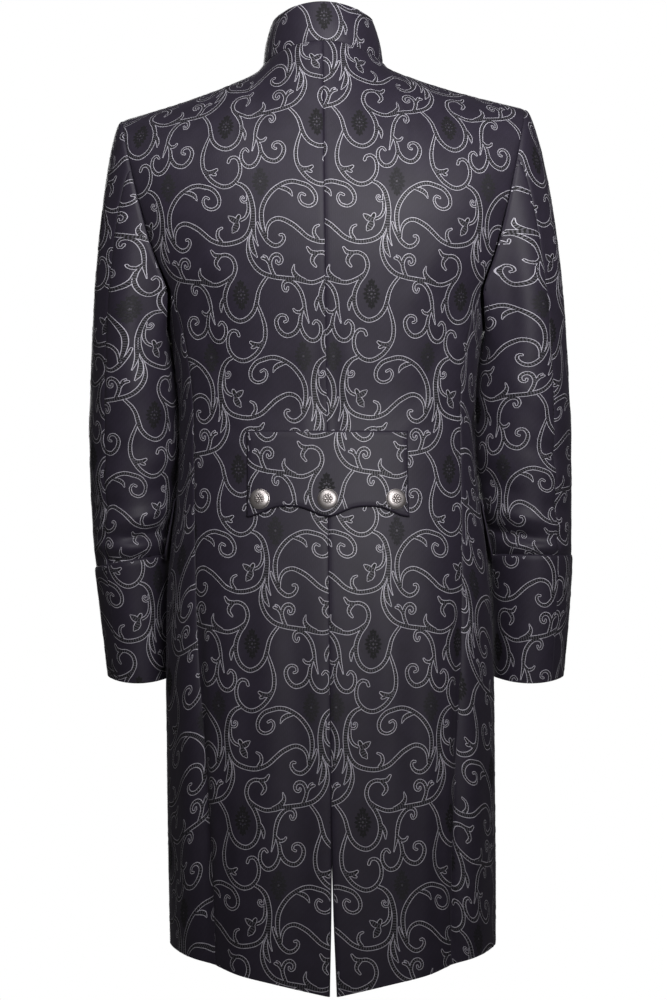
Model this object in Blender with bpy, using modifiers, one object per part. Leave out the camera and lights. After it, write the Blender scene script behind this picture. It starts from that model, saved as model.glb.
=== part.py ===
"""Knee-length frock coat, hollow, in the pose of a coat that is worn.

Frame: +Z up, the wearer faces -Y and the wearer's left is +X. The origin is the middle of the
neck opening, at the height of the side neck points. Sizes in the tables are millimetres.
Every panel is a single sheet, lofted through sections of the body and given its wall by Solidify.
"""

import math

import bpy
import numpy as np
from mathutils import Vector

MM = 0.001

# ---------------------------------------------------------------- driving sizes, millimetres
WALL = 1.6  # brocade with its interlining
SEAM_GAP = 0.5  # between the outer faces of two panels at a seam
UNDERARM_GAP = 2.4  # more, where the sleeve turns down beside the body
LAY_GAP = 0.4  # under a piece that lies on a panel
CUFF_GAP = 0.6
FRONT_BUTTON_GAP = 0.9  # the front curves away under the button
LEAN = 0.0114  # how far the hanging coat drifts sideways for each unit of drop
SHOULDER_TILT = 0.029  # the right shoulder sits higher than the left
TILT_FADES_AT, TILT_FULL_AT = -330.0, -120.0  # heights
TILT_FROM, TILT_TO = 20.0, 90.0  # from the centre plane
HEM_SIDE, HEM_BACK, HEM_FRONT = -992.0, -1031.0, -984.0
WAIST = -400.0
SEAM_TOP = -262.0  # where the side panel's seams meet the armhole
ARMHOLE_DIP = 43.0  # how far the armhole's bottom lies below SEAM_TOP
NECK_HALF, NECK_MIDDLE, NECK_BACK, NECK_FRONT = 68.0, -15.0, 70.0, 73.0
NECK_Z_BACK, NECK_Z_SIDE, NECK_Z_FRONT = 15.0, -2.0, -72.0
SHOULDER_RUN, SHOULDER_DROP, SHOULDER_FORWARD = 158.0, 58.5, 13.0
SHOULDER_SAG = 0.72  # under 1 dips the shoulder line next to the neck
COLLAR_TOP_HALF, COLLAR_TOP_MIDDLE, COLLAR_TOP_BACK, COLLAR_TOP_FRONT = 57.0, -12.0, 58.0, 66.0
COLLAR_Z_BACK, COLLAR_Z_SIDE, COLLAR_Z_FRONT = 60.0, 46.5, -27.0
COLLAR_OPENING = 6.0
SHOULDER_GAP = 0.42  # on each side of the shoulder seam
NECK_SEAM_HALF = 0.7  # half the centre back seam at the neck, whose walls lean together
COLLAR_GAP = 0.9  # above the panels, whose walls lean at the neck
COLLAR_FRONT_GAP = 3.0  # above the lapped fronts
LAP = 20.0  # how far a front passes the centre line above the waist
LAP_LIFT = 3.2  # the left front lies over the right one
LAP_FLAT, LAP_FADED = 25.0, 75.0  # from the centre: lifted evenly up to the first, not past the second
COLLAR_BOW = 2.0  # how far the collar bulges between its edges
CUFF_TOP, CUFF_END, SLEEVE_END = -565.0, -702.0, -698.0
CUFF_SLANT = 7.0  # the cuff's top edge is higher on the body's side
CUFF_ROWS = (0, 0.33, 0.66, 1)
BELT_HALF, BELT_TOP, BELT_POINT, BELT_SCALLOP = 86.5, -421.0, -511.5, -500.5
BELT_SHARPNESS, BELT_ROWS = 3.2, (0, 0.15, 0.45, 0.75, 1)
FLAP_TOP, FLAP_DEPTH, FLAP_FLARE, FLAP_CORNER = -495.0, 70.0, 3.5, 14.0
FLAP_CORNER_SHARE, FLAP_CURL, FLAP_ROWS = 0.14, 1.4, (0, 0.12, 0.4, 0.7, 1)
FLAP_START, FLAP_TURN = math.radians(86), math.radians(52)  # where it starts round the body
BUTTON_RADIUS, BUTTON_THICK, BUTTON_DOME = 11.2, 2.2, 3.6
BELT_BUTTONS = (-73.5, 0.0, 73.5)
BELT_BUTTON_Z = -494.5
BUTTON_PATCH = 3.0  # half the patch of cloth whose way a button takes
FRONT_BUTTON_FIRST, FRONT_BUTTON_PITCH, FRONT_BUTTON_COUNT = -116.0, 51.0, 7


def table(columns, *rows):
    """A table as {column name: array}, its rows sorted from the lowest to the highest."""
    return dict(zip(columns.split(), np.array(sorted(rows), float).T))


# The coat's horizontal sections, hem to blade. half_width is at the side, back and front are the
# depths at the centre lines, square is the exponent of the section's curve.
TORSO = table(
    "height half_width back front square",
    (-1045, 183.0, 144, 136, 2.25),
    (-999, 183.5, 143, 136, 2.25),
    (-900, 184.5, 139, 134, 2.25),
    (-780, 184.8, 133, 131, 2.25),
    (-660, 184.5, 126, 129, 2.25),
    (-590, 182.0, 119, 127, 2.25),
    (-540, 177.0, 112, 124, 2.25),
    (-500, 172.0, 105, 120, 2.25),
    (-450, 167.5, 98, 117, 2.3),
    (-400, 166.5, 95, 116, 2.3),
    (-330, 173.0, 103, 121, 2.35),
    (-262, 187.0, 113, 127, 2.4),
    (-225, 207.0, 117, 128, 2.4),
    (-190, 222.0, 118, 127, 2.4),
    (-150, 236.0, 116, 122, 2.4),
)

# How far from the centre plane the back and front panels end: the side seams up to SEAM_TOP and
# the armhole above it.
PANEL_EDGE = table(
    "height back front",
    (-1045, 133.0, 142),
    (-999, 133.0, 142),
    (-910, 134.5, 142),
    (-800, 141.0, 141),
    (-660, 148.0, 140),
    (-550, 149.0, 136),
    (-440, 148.5, 129),
    (-382, 149.0, 128),
    (-325, 155.5, 137),
    (-290, 163.5, 150),
    (-262, 172.5, 163),
    (-225, 187.0, 179),
    (-190, 197.5, 190),
    (-150, 206.0, 197),
)

# Half the width of the back vent, and how far each front passes the centre (less than nothing
# where the skirts hang parted).
OPENINGS = table(
    "height vent lap",
    (-1045, 6.0, -38),
    (-999, 5.4, -37),
    (-900, 2.2, -31),
    (-830, 0.9, -26),
    (-700, 0.45, -16),
    (-600, 0.35, -5),
    (-520, 0.3, 10),
    (-460, 0.25, 20),
    (-190, 0.25, 20),
    (-150, 0.25, 20),
)

# The soft fold along each side seam of the skirt: it sinks at the seam and fills out beside it.
SKIRT_FOLD = table(
    "height sink fill",
    (-1045, 6.5, 3.5),
    (-900, 6.0, 3.2),
    (-760, 5.0, 2.6),
    (-640, 3.5, 1.6),
    (-540, 1.5, 0.6),
    (-470, 0.0, 0.0),
    (-150, 0.0, 0.0),
)
FOLD_WIDTH, FILL_FROM, FILL_WIDTH = 17.0, 38.0, 20.0
FAR_FROM_SEAM = 52.0  # puts the front, which has no such fold, out of its reach

# The sleeve's sections below the upper arm: where it ends towards the body and away from it, the
# middle from front to back, and half its depth. The right sleeve hangs a little further out.
SLEEVE = table(
    "height inner outer middle half_depth right_inner right_outer",
    (-740, 181.0, 250.0, -61, 56, 187, 263),
    (-702, 181.5, 253.0, -57, 56, 187, 266),
    (-650, 182.0, 258.0, -52, 57, 187, 271),
    (-600, 183.5, 263.0, -47, 58, 187, 275),
    (-550, 183.0, 268.0, -42, 60, 184, 277.5),
    (-500, 173.5, 270.5, -37, 62.5, 175, 278),
    (-450, 169.0, 272.0, -32, 65.5, 170, 278.5),
    (-400, 168.5, 270.7, -26, 68, 169, 277.5),
    (-345, 173.0, 267.5, -19, 70, 173, 274.5),
    (-300, 178.0, 264.0, -14, 71, 178, 271),
)
UPPER_ARM = -345.0
CAP_ROLL = 14.0  # how far the sleeve head runs straight out before it turns down
CAP_EVEN, ROLL_EVEN = 0.62, 0.55  # shares of the head's way and roll that hold all round the armhole
CAP_WAY, UNDERARM_WAY = np.array([1.0, 0.0, 0.12]), np.array([0.0, 0.0, -0.5])
HIND_SEAM, FORE_SEAM = 0.150, 0.655  # the seams' places round the sleeve, as shares of a turn
SLEEVE_SEAM_HALF, SEAM_COLUMN = 0.0009, 0.008

# The folds above each cuff and in the bend of the arm: place round the sleeve (share of a turn),
# height, depth, reach round the sleeve and reach up and down.
SLEEVE_FOLDS = table(
    "place height depth reach tall",
    (0.14, -523, 2.6, 0.13, 9),
    (0.30, -541, -3.6, 0.14, 8),
    (0.33, -520, 2.2, 0.12, 9),
    (0.10, -503, -2.0, 0.10, 9),
    (0.70, -470, -2.6, 0.12, 11),
    (0.68, -445, 2.0, 0.12, 12),
    (0.42, -405, -2.2, 0.12, 13),
)
FOLD_SLANT = 26.0  # how much each fold climbs for a turn


def smooth(sections, column, height):
    """A table's column at any height, on a smooth curve through its rows."""
    known, values = sections["height"], sections[column]
    slopes = np.gradient(values, known)
    row = np.clip(np.searchsorted(known, height) - 1, 0, len(known) - 2)
    span = known[row + 1] - known[row]
    t = np.clip((height - known[row]) / span, 0, 1)
    return (
        values[row] * (1 + 2 * t) * (1 - t) ** 2
        + values[row + 1] * t * t * (3 - 2 * t)
        + slopes[row] * span * t * (1 - t) ** 2
        - slopes[row + 1] * span * t * t * (1 - t)
    )


def step(low, high, value):
    """0 up to low, 1 from high, and a smooth rise between."""
    t = np.clip((value - low) / (high - low), 0, 1)
    return t * t * (3 - 2 * t)


def unit(vectors):
    return vectors / np.linalg.norm(vectors, axis=-1, keepdims=True)


def arc(start, start_way, end, end_way, t, start_reach=None):
    """Points at t of the smooth arcs that leave start along start_way and reach end along end_way."""
    chord = np.linalg.norm(end - start, axis=-1, keepdims=True)
    turn = np.arccos(np.clip((start_way * end_way).sum(-1, keepdims=True), -1, 1))
    reach = chord / (3 * np.cos(turn / 4) ** 2)
    first = start + start_way * (reach if start_reach is None else start_reach)
    last = end - end_way * (reach if start_reach is None else chord * 0.5)
    t = np.reshape(t, (-1, 1, 1))
    return (
        start * (1 - t) ** 3 + 3 * first * t * (1 - t) ** 2 + 3 * last * t * t * (1 - t) + end * t**3
    )


# ---------------------------------------------------------------- the body's surface
def torso(angle, height):
    """Outer face of the left half. angle is 0 at centre back, pi/2 at the side, pi at centre front."""
    half, square = smooth(TORSO, "half_width", height), smooth(TORSO, "square", height)
    sine, cosine = np.sin(angle), np.cos(angle)
    depth = np.where(cosine >= 0, smooth(TORSO, "back", height), smooth(TORSO, "front", height))
    x = half * np.sign(sine) * np.abs(sine) ** (2 / square)
    y = depth * np.sign(cosine) * np.abs(cosine) ** (2 / square)
    way = np.stack([x / half**2, y / depth**2])
    way = way / np.hypot(*way)
    edge = smooth(PANEL_EDGE, "back", height)
    from_seam = np.where(cosine >= 0, x - edge, FAR_FROM_SEAM + depth)
    sink = smooth(SKIRT_FOLD, "sink", height) * np.exp(-((from_seam / FOLD_WIDTH) ** 2))
    beside = (from_seam + FILL_FROM) / FILL_WIDTH
    fill = smooth(SKIRT_FOLD, "fill", height) * np.exp(-(beside**2))
    push = fill - sink
    return np.stack([x + way[0] * push, y + way[1] * push, height + 0 * x], -1)


def angle_at(x, height, side):
    """The section's angle where it is x from the centre plane, on its back or front side."""
    share = x / smooth(TORSO, "half_width", height)
    turn = np.sign(share) * np.arcsin(np.abs(share) ** (smooth(TORSO, "square", height) / 2))
    return turn if side == "back" else math.pi - turn


def even_angles(first, last, height, columns):
    """Angles that divide a section's stretch into equal lengths."""
    dense = np.linspace(first, last, 400)
    run = np.linalg.norm(np.diff(torso(dense, np.full(400, height)), axis=0), axis=1)
    run = np.append(0, np.cumsum(run))
    return np.interp(columns * run[-1], run, dense)


def at_hem(angle, height):
    """Heights near the hem, dropped to the hem's own line, which falls evenly to the centre back."""
    reach = 1 - np.abs(np.sin(angle)) ** (2 / smooth(TORSO, "square", height))
    drop = np.where(np.cos(angle) > 0, HEM_BACK - HEM_SIDE, HEM_FRONT - HEM_SIDE)
    return height + drop * reach * (1 - step(HEM_SIDE, WAIST, height))


def neckline(angle):
    sine, cosine = np.sin(angle), np.cos(angle)
    deep = np.where(cosine > 0, NECK_BACK, NECK_FRONT)
    rise = np.where(cosine > 0, NECK_Z_BACK - NECK_Z_SIDE, NECK_Z_FRONT - NECK_Z_SIDE)
    return np.stack([NECK_HALF * sine, NECK_MIDDLE + deep * cosine, NECK_Z_SIDE + rise * cosine**2], -1)


def shoulder_seam(share):
    return np.stack(
        [
            NECK_HALF + SHOULDER_RUN * share,
            NECK_MIDDLE + SHOULDER_FORWARD * share,
            NECK_Z_SIDE - SHOULDER_DROP * share**SHOULDER_SAG,
        ],
        -1,
    )


LOW_ROWS = (-992, -950, -890, -820, -750, -680, -620, -570, -530, -495, -460, -425, -385, -345)
MIDDLE_ROWS = (-310, -284, -262, -238, -214, -190)  # the last is where the shoulder rolls over
SHOULDER_STEPS = (0.16, 0.34, 0.52, 0.7, 0.86, 0.96, 1.0)
NECK_COLUMNS, SHOULDER_COLUMNS = 5, 6


def panel(side):
    """The left back or left front as a grid of points, its rows from the hem to the shoulder."""
    columns = np.linspace(0, 1, NECK_COLUMNS + SHOULDER_COLUMNS + 1)
    rows = []
    for height in LOW_ROWS + MIDDLE_ROWS:
        last = angle_at(smooth(PANEL_EDGE, side, height), height, side)
        if side == "back":
            first = angle_at(smooth(OPENINGS, "vent", height), height, side)
        else:
            first = angle_at(-smooth(OPENINGS, "lap", height), height, side)
        angles = even_angles(first, last, height, columns)
        rows.append(torso(angles, at_hem(angles, np.full(columns.shape, height))))
    rows = np.array(rows)
    facing = 1 if side == "back" else -1
    neck = columns[: NECK_COLUMNS + 1] / columns[NECK_COLUMNS]
    if side == "back":
        neck_angles = math.asin(NECK_SEAM_HALF / NECK_HALF) + (math.pi / 2) * neck
        neck_angles = np.minimum(neck_angles, math.pi / 2)
    else:
        neck_angles = math.pi + math.asin(LAP / NECK_HALF) * (1 - neck) - (math.pi / 2) * neck
    shoulder = np.linspace(0, 1, SHOULDER_COLUMNS + 1)[1:]
    top = np.concatenate([neckline(neck_angles), shoulder_seam(shoulder)])
    aside = 1 - np.abs(np.cos(neck_angles))
    climb = np.stack([-0.25 * aside, facing * (-0.45 - 0.45 * aside), 0.9 - 0.65 * aside], -1)
    across = np.tile([0.0, -facing, 0.0], (SHOULDER_COLUMNS, 1))
    end_way = unit(np.concatenate([climb, across]))
    start_way = unit(rows[-1] - rows[-2])
    upper = arc(rows[-1], start_way, top, end_way, SHOULDER_STEPS)
    return np.concatenate([rows, upper])


def side_panel():
    """The left side panel: columns from the side-back seam to the side-front seam."""
    share = np.linspace(0, 1, 9)
    top = SEAM_TOP - ARMHOLE_DIP * np.sin(math.pi * share) ** 0.8
    levels = LOW_ROWS + MIDDLE_ROWS[:3]
    rows = []
    for level in levels:
        rise = (level - HEM_SIDE) / (SEAM_TOP - HEM_SIDE)
        height = HEM_SIDE + (top - HEM_SIDE) * rise
        first = angle_at(smooth(PANEL_EDGE, "back", height), height, "back")
        last = angle_at(smooth(PANEL_EDGE, "front", height), height, "front")
        angle = first + (last - first) * share
        rows.append(torso(angle, at_hem(angle, height)))
    return np.array(rows)


def trimmed(grid, left=0.0, right=0.0, bottom=0.0, top=0.0):
    """The grid with its edges drawn in by the given lengths, to leave the seams' gaps."""
    grid = grid.copy()
    for length, edge, inner in (
        (left, np.s_[:, 0], np.s_[:, 1]),
        (right, np.s_[:, -1], np.s_[:, -2]),
        (bottom, np.s_[0], np.s_[1]),
        (top, np.s_[-1], np.s_[-2]),
    ):
        grid[edge] += unit(grid[inner] - grid[edge]) * length
    return grid


def moved_out(grid, distance, wrap=False):
    """The grid moved along its own normals, outwards where columns run clockwise from above."""
    wide = np.concatenate([grid[:, -2:-1], grid, grid[:, 1:2]], 1) if wrap else grid
    along, across = np.gradient(wide, axis=0), np.gradient(wide, axis=1)
    if wrap:
        along, across = along[:, 1:-1], across[:, 1:-1]
    normal = unit(np.cross(along, across))
    return grid + normal * np.asarray(distance, float)[..., None]


def lift_lap(grid):
    """The left front's edge, raised to lie over the right front."""
    near = 1 - step(LAP_FLAT, LAP_FADED, grid[..., 0])
    lifted = grid.copy()
    lifted[..., 1] -= LAP_LIFT * near
    return lifted


def posed(points, side):
    """Points of a left piece on its own side (1 left, -1 right), with the coat's lean and tilt."""
    x, y, z = points[..., 0] * side, points[..., 1], points[..., 2]
    tilt = SHOULDER_TILT * x * step(TILT_FADES_AT, TILT_FULL_AT, z) * step(TILT_FROM, TILT_TO, np.abs(x))
    return np.stack([x + LEAN * z, y, z - tilt], -1) * MM


# ---------------------------------------------------------------- sleeves
def armhole(turns):
    """The armhole's loop, from the shoulder point down its back, round the bottom and up its front."""
    back, front, side = panel("back"), panel("front"), side_panel()
    start = len(LOW_ROWS) + MIDDLE_ROWS.index(SEAM_TOP)
    loop = np.concatenate([back[start:, -1][::-1], side[-1][1:-1], front[start:, -1]])
    run = np.append(0, np.cumsum(np.linalg.norm(np.diff(loop, axis=0), axis=1)))
    places = (turns % 1) * run[-1]
    return np.stack([np.interp(places, run, loop[:, axis]) for axis in range(3)], -1)


def arm_section(turn, height, side):
    """The sleeve's outer face below the upper arm. turn is a share of a turn from the outer side."""
    inner = smooth(SLEEVE, "inner" if side == 1 else "right_inner", height)
    outer = smooth(SLEEVE, "outer" if side == 1 else "right_outer", height)
    middle, deep = smooth(SLEEVE, "middle", height), smooth(SLEEVE, "half_depth", height)
    push = 0
    for place, level, depth, reach, tall in zip(*(SLEEVE_FOLDS[name] for name in SLEEVE_FOLDS)):
        away = (turn - place + 0.5) % 1 - 0.5
        slant = level + FOLD_SLANT * away
        push = push + depth * np.exp(-((away / reach) ** 2) - ((height - slant) / tall) ** 2)
    angle = 2 * math.pi * turn
    half = (outer - inner) / 2
    x = (outer + inner) / 2 + (half + push) * np.cos(angle)
    y = middle + (deep + push) * np.sin(angle)
    return np.stack([x, y, height + 0 * x], -1)


SLEEVE_ROWS = (-375, -408, -440, -465, -485, -503, -516, -528, -540, -556, -600, -650)
CAP_STEPS = (0.0, 0.08, 0.2, 0.36, 0.54, 0.76, 1.0)


def sleeve(turns, side):
    """The sleeve between two places round it, as a grid from the armhole down to its end."""
    ring = arm_section(turns, np.full(turns.shape, UPPER_ARM), side)
    below = arm_section(turns, np.full(turns.shape, UPPER_ARM - 20), side)
    outward = np.cos(2 * math.pi * turns)[:, None]
    start = armhole(turns) + np.array([1.0, 0, 0]) * (SEAM_GAP + UNDERARM_GAP * (1 - outward) / 2)
    start_way = unit(CAP_WAY * (CAP_EVEN + (1 - CAP_EVEN) * outward) + UNDERARM_WAY * (1 - outward))
    reach = CAP_ROLL * (ROLL_EVEN + (1 - ROLL_EVEN) * outward)
    cap = arc(start, start_way, ring, unit(below - ring), CAP_STEPS, reach)
    rows = [arm_section(turns, np.full(turns.shape, height), side) for height in SLEEVE_ROWS]
    rows.append(arm_section(turns, np.full(turns.shape, SLEEVE_END), side))
    return np.concatenate([cap, np.array(rows)])[::-1]


def seam_to_seam(first, last):
    """Places round the sleeve from one seam to the next, with a narrow column beside each seam."""
    first, last = first + SLEEVE_SEAM_HALF, last - SLEEVE_SEAM_HALF
    inside = np.linspace(first, last, 10)[1:-1]
    return np.concatenate([[first, first + SEAM_COLUMN], inside, [last - SEAM_COLUMN, last]])


def cuff(side):
    """The deep cuff, a closed band that lies on the sleeve's lower end."""
    turns = np.append(seam_to_seam(FORE_SEAM - 1, HIND_SEAM), seam_to_seam(HIND_SEAM, FORE_SEAM))
    turns = np.append(turns, turns[0] + 1)
    rows = []
    for rise in CUFF_ROWS:
        top = CUFF_TOP - CUFF_SLANT * np.cos(2 * math.pi * turns)
        height = CUFF_END + (top - CUFF_END) * rise
        rows.append(arm_section(turns, height, side))
    # A place round the sleeve runs anticlockwise from above, so out is against the grid's normal.
    out = np.full((len(CUFF_ROWS), len(turns)), -WALL - CUFF_GAP)
    return moved_out(np.array(rows), out, wrap=True)


# ---------------------------------------------------------------- collar and applied pieces
def collar():
    """The stand collar's outer face, a strip that leans in towards its top edge."""
    end = math.pi - math.asin(COLLAR_OPENING / 2 / COLLAR_TOP_HALF)
    angle = np.linspace(-end, end, 31)
    sine, cosine = np.sin(angle), np.cos(angle)
    deep = np.where(cosine > 0, COLLAR_TOP_BACK, COLLAR_TOP_FRONT)
    rise = np.where(cosine > 0, COLLAR_Z_BACK - COLLAR_Z_SIDE, COLLAR_Z_FRONT - COLLAR_Z_SIDE)
    top_y, top_z = COLLAR_TOP_MIDDLE + deep * cosine, COLLAR_Z_SIDE + rise * cosine**2
    top = np.stack([COLLAR_TOP_HALF * sine, top_y, top_z], -1)
    bottom = neckline(angle)
    gap = np.where(cosine > 0, COLLAR_GAP, COLLAR_GAP + (COLLAR_FRONT_GAP - COLLAR_GAP) * cosine**2)
    bottom = bottom + unit(top - bottom) * gap[:, None]
    rises = np.linspace(0, 1, 4)
    grid = np.array([bottom + (top - bottom) * rise for rise in rises])
    out = unit(np.stack([sine, cosine, 0 * sine], -1))
    return grid + out * (COLLAR_BOW * np.sin(math.pi * rises))[:, None, None]


def across_back(x, height):
    """Points of both back panels, from one side of the centre seam to the other."""
    points = torso(angle_at(np.abs(x), height, "back"), height)
    points[..., 0] *= np.where(x < 0, -1, 1)
    return points


def half_belt():
    x = np.linspace(-BELT_HALF, BELT_HALF, 25)
    scallop = np.abs(np.cos(math.pi * x / BELT_HALF)) ** BELT_SHARPNESS
    low = BELT_SCALLOP + (BELT_POINT - BELT_SCALLOP) * scallop
    grid = np.array([across_back(x, low + (BELT_TOP - low) * rise) for rise in BELT_ROWS])
    return moved_out(grid, np.full(grid.shape[:2], WALL + LAY_GAP))


def flap():
    """The hip pocket's flap, from just behind the side round towards the front."""
    columns, rows = np.linspace(0, 1, 9), np.array(FLAP_ROWS)
    corner = FLAP_CORNER * (1 - np.sin(np.arccos(np.clip(1 - columns / FLAP_CORNER_SHARE, 0, 1))))
    corner = corner + corner[::-1]
    grid = []
    for rise in rows:
        low = FLAP_TOP - FLAP_DEPTH + corner
        height = low + (FLAP_TOP - low) * rise
        angle = FLAP_START + FLAP_TURN * columns
        grid.append(torso(angle, height))
    out = WALL + 2 * LAY_GAP + FLAP_FLARE * (1 - rows) ** FLAP_CURL
    return moved_out(np.array(grid), np.tile(out[:, None], (1, len(columns))))


# ---------------------------------------------------------------- Blender objects
def material(name, colour, roughness, metallic=0.0):
    made = bpy.data.materials.new(name)
    made.use_nodes = True
    shader = made.node_tree.nodes["Principled BSDF"]
    shader.inputs["Base Color"].default_value = (*colour, 1.0)
    shader.inputs["Roughness"].default_value = roughness
    shader.inputs["Metallic"].default_value = metallic
    return made


def link(made, finish):
    made.data.materials.append(finish)
    made.data.shade_smooth()
    coat.objects.link(made)
    return made


def cloth(name, grid, finish, wrap=False):
    """A sheet through the grid's points, rows upwards and columns so that its face is outwards."""
    rows, columns = grid.shape[:2]
    if wrap:
        columns -= 1
        grid = grid[:, :-1]
    faces = []
    for row in range(rows - 1):
        for column in range(columns if wrap else columns - 1):
            a, b = row * columns + column, row * columns + (column + 1) % columns
            faces.append((a, a + columns, b + columns, b))
    mesh = bpy.data.meshes.new(name)
    mesh.from_pydata(grid.reshape(-1, 3).tolist(), [], faces)
    made = bpy.data.objects.new(name, mesh)
    wall = made.modifiers.new("wall", "SOLIDIFY")
    wall.thickness = WALL * MM
    wall.offset = -1
    wall.use_even_offset = True
    wall.use_quality_normals = True
    return link(made, finish)


def button(name, place, way, finish):
    """A domed disc, turned about its own axis, its back face at place and its dome along way."""
    radius, rim = BUTTON_RADIUS * MM, BUTTON_THICK * MM
    profile = [(0.0, rim + BUTTON_DOME * MM)]
    profile += [
        (radius * math.sin(a), rim + BUTTON_DOME * MM * math.cos(a)) for a in np.radians((35, 65, 90))
    ]
    profile += [(radius, rim * 0.35), (radius * 0.93, 0.0), (0.0, 0.0)]
    mesh = bpy.data.meshes.new(name)
    points = [(x, 0.0, z) for x, z in profile]
    mesh.from_pydata(points, [(i, i + 1) for i in range(len(points) - 1)], [])
    made = bpy.data.objects.new(name, mesh)
    turned = made.modifiers.new("turned", "SCREW")
    turned.steps = turned.render_steps = 14
    turned.use_merge_vertices = True
    turned.merge_threshold = 0.00001
    made.location = place
    made.rotation_euler = way.to_track_quat("Z", "Y").to_euler()
    return link(made, finish)


def build_body(finish):
    back, front, side = panel("back"), panel("front"), side_panel()
    half = SEAM_GAP / 2
    for name, sign in (("left", 1), ("right", -1)):
        turned = np.s_[:, ::sign]
        lapped = lift_lap(front) if sign == 1 else front
        pieces = {
            "back": trimmed(back, right=half, top=SHOULDER_GAP),
            "side": trimmed(side, left=half, right=half),
            "front": trimmed(lapped, right=half, top=SHOULDER_GAP)[:, ::-1],
        }
        for piece, grid in pieces.items():
            cloth(f"{piece}_{name}", posed(grid, sign)[turned], finish)


def build_sleeves(finish):
    top_turns = seam_to_seam(FORE_SEAM - 1, HIND_SEAM)
    under_turns = seam_to_seam(HIND_SEAM, FORE_SEAM)
    for name, sign in (("left", 1), ("right", -1)):
        for piece, turns in (("top_sleeve", top_turns), ("under_sleeve", under_turns)):
            grid = posed(sleeve(turns, sign), sign)
            cloth(f"{piece}_{name}", grid[:, ::-sign], finish)
        cloth(f"cuff_{name}", posed(cuff(sign), sign)[:, ::-sign], finish, wrap=True)


def normal_at(grid, row, column):
    along = grid[row + 1, column] - grid[row - 1, column]
    across = grid[row, column + 1] - grid[row, column - 1]
    return unit(np.cross(along, across))


def build_buttons(finish):
    for index, x in enumerate(BELT_BUTTONS):
        spots = x + BUTTON_PATCH * np.array([[-1.0, 0, 1]] * 3)
        heights = BELT_BUTTON_Z + BUTTON_PATCH * np.array([[-1.0], [0], [1]]) + 0 * spots
        patch = moved_out(across_back(spots, heights), np.full((3, 3), WALL + 2 * LAY_GAP))
        patch = posed(patch, 1)
        button(f"belt_button_{index + 1}", patch[1, 1], Vector(normal_at(patch, 1, 1)), finish)
    for index in range(FRONT_BUTTON_COUNT):
        level = FRONT_BUTTON_FIRST - FRONT_BUTTON_PITCH * index
        spot = front_spot(level)
        button(f"front_button_{index + 1}", spot[0], Vector(spot[1]), finish)


def front_spot(level):
    """Where a front button's back face sits on the left front's centre line, and which way it looks."""
    front = posed(lift_lap(panel("front")), 1)
    centre = np.abs(front[..., 0] - LEAN * front[..., 2]).argmin(axis=1)
    line = front[np.arange(len(front)), centre]
    heights = line[:, 2]
    y = np.interp(level * MM, heights, line[:, 1])
    ends = (BUTTON_PATCH, -BUTTON_PATCH)
    above, below = (np.interp((level + shift) * MM, heights, line[:, 1]) for shift in ends)
    way = unit(np.array([0.0, -2 * BUTTON_PATCH * MM, above - below]))
    place = np.array([LEAN * level * MM, y, level * MM]) + way * FRONT_BUTTON_GAP * MM
    return place, way


for old in list(bpy.data.objects):
    bpy.data.objects.remove(old)
coat = bpy.data.collections.new("frock_coat")
bpy.context.scene.collection.children.link(coat)

brocade = material("charcoal_brocade", (0.047, 0.044, 0.056), 0.5)
metal = material("antique_silver", (0.35, 0.33, 0.32), 0.38, 1.0)

build_body(brocade)
build_sleeves(brocade)
cloth("collar", posed(collar(), 1), brocade)
cloth("half_belt", posed(half_belt(), 1), brocade)
for flap_name, flap_side in (("left", 1), ("right", -1)):
    cloth(f"pocket_flap_{flap_name}", posed(flap(), flap_side)[:, ::flap_side], brocade)
build_buttons(metal)
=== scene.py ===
# %% [markdown]
# # A charcoal brocade frock coat, seen from behind
#
# The lesson dresses a plain hollow model of the coat: fine cloth over each panel, the woven scrolls,
# the cast buttons, the light and the camera. First the imported model is loaded.

# %% Load the model
import math
import bmesh
import bpy
import numpy as np
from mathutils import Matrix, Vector


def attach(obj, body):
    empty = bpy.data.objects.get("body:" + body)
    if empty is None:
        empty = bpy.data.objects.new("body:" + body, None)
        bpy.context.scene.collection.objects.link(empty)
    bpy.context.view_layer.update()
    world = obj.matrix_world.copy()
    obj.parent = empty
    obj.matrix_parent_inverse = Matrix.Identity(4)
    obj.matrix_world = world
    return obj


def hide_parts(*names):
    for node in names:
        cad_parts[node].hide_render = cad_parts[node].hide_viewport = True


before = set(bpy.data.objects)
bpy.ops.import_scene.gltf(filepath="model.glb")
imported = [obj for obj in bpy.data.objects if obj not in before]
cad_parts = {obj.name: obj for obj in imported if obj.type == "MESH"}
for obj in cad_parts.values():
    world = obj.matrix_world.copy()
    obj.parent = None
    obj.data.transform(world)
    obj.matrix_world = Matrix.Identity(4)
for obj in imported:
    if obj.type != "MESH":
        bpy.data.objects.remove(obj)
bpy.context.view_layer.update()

MM = 0.001

# %% [markdown]
# The photograph is taken level, from behind, with a long lens about three metres away. The long side
# of the sensor is the picture's height.

# %% Camera
CAMERA_X, CAMERA_Y, CAMERA_Z, FOCAL = -0.0119, 3.0, -0.495, 95.58
bpy.ops.object.select_all(action="DESELECT")
bpy.ops.object.camera_add(location=(CAMERA_X, CAMERA_Y, CAMERA_Z), rotation=(math.pi / 2, 0, math.pi))
camera = bpy.context.object
camera.name = "photograph_camera"
camera.data.lens = FOCAL
camera.data.sensor_width = 36
camera.data.dof.use_dof = False
bpy.context.scene.camera = camera
print("camera", tuple(camera.location), camera.data.lens)

# %% [markdown]
# Colours are picked as sRGB hex values, as on a screen. Blender mixes light in linear values, so one
# function turns them. The others add a node to a material with its settings, and link it up.

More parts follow.
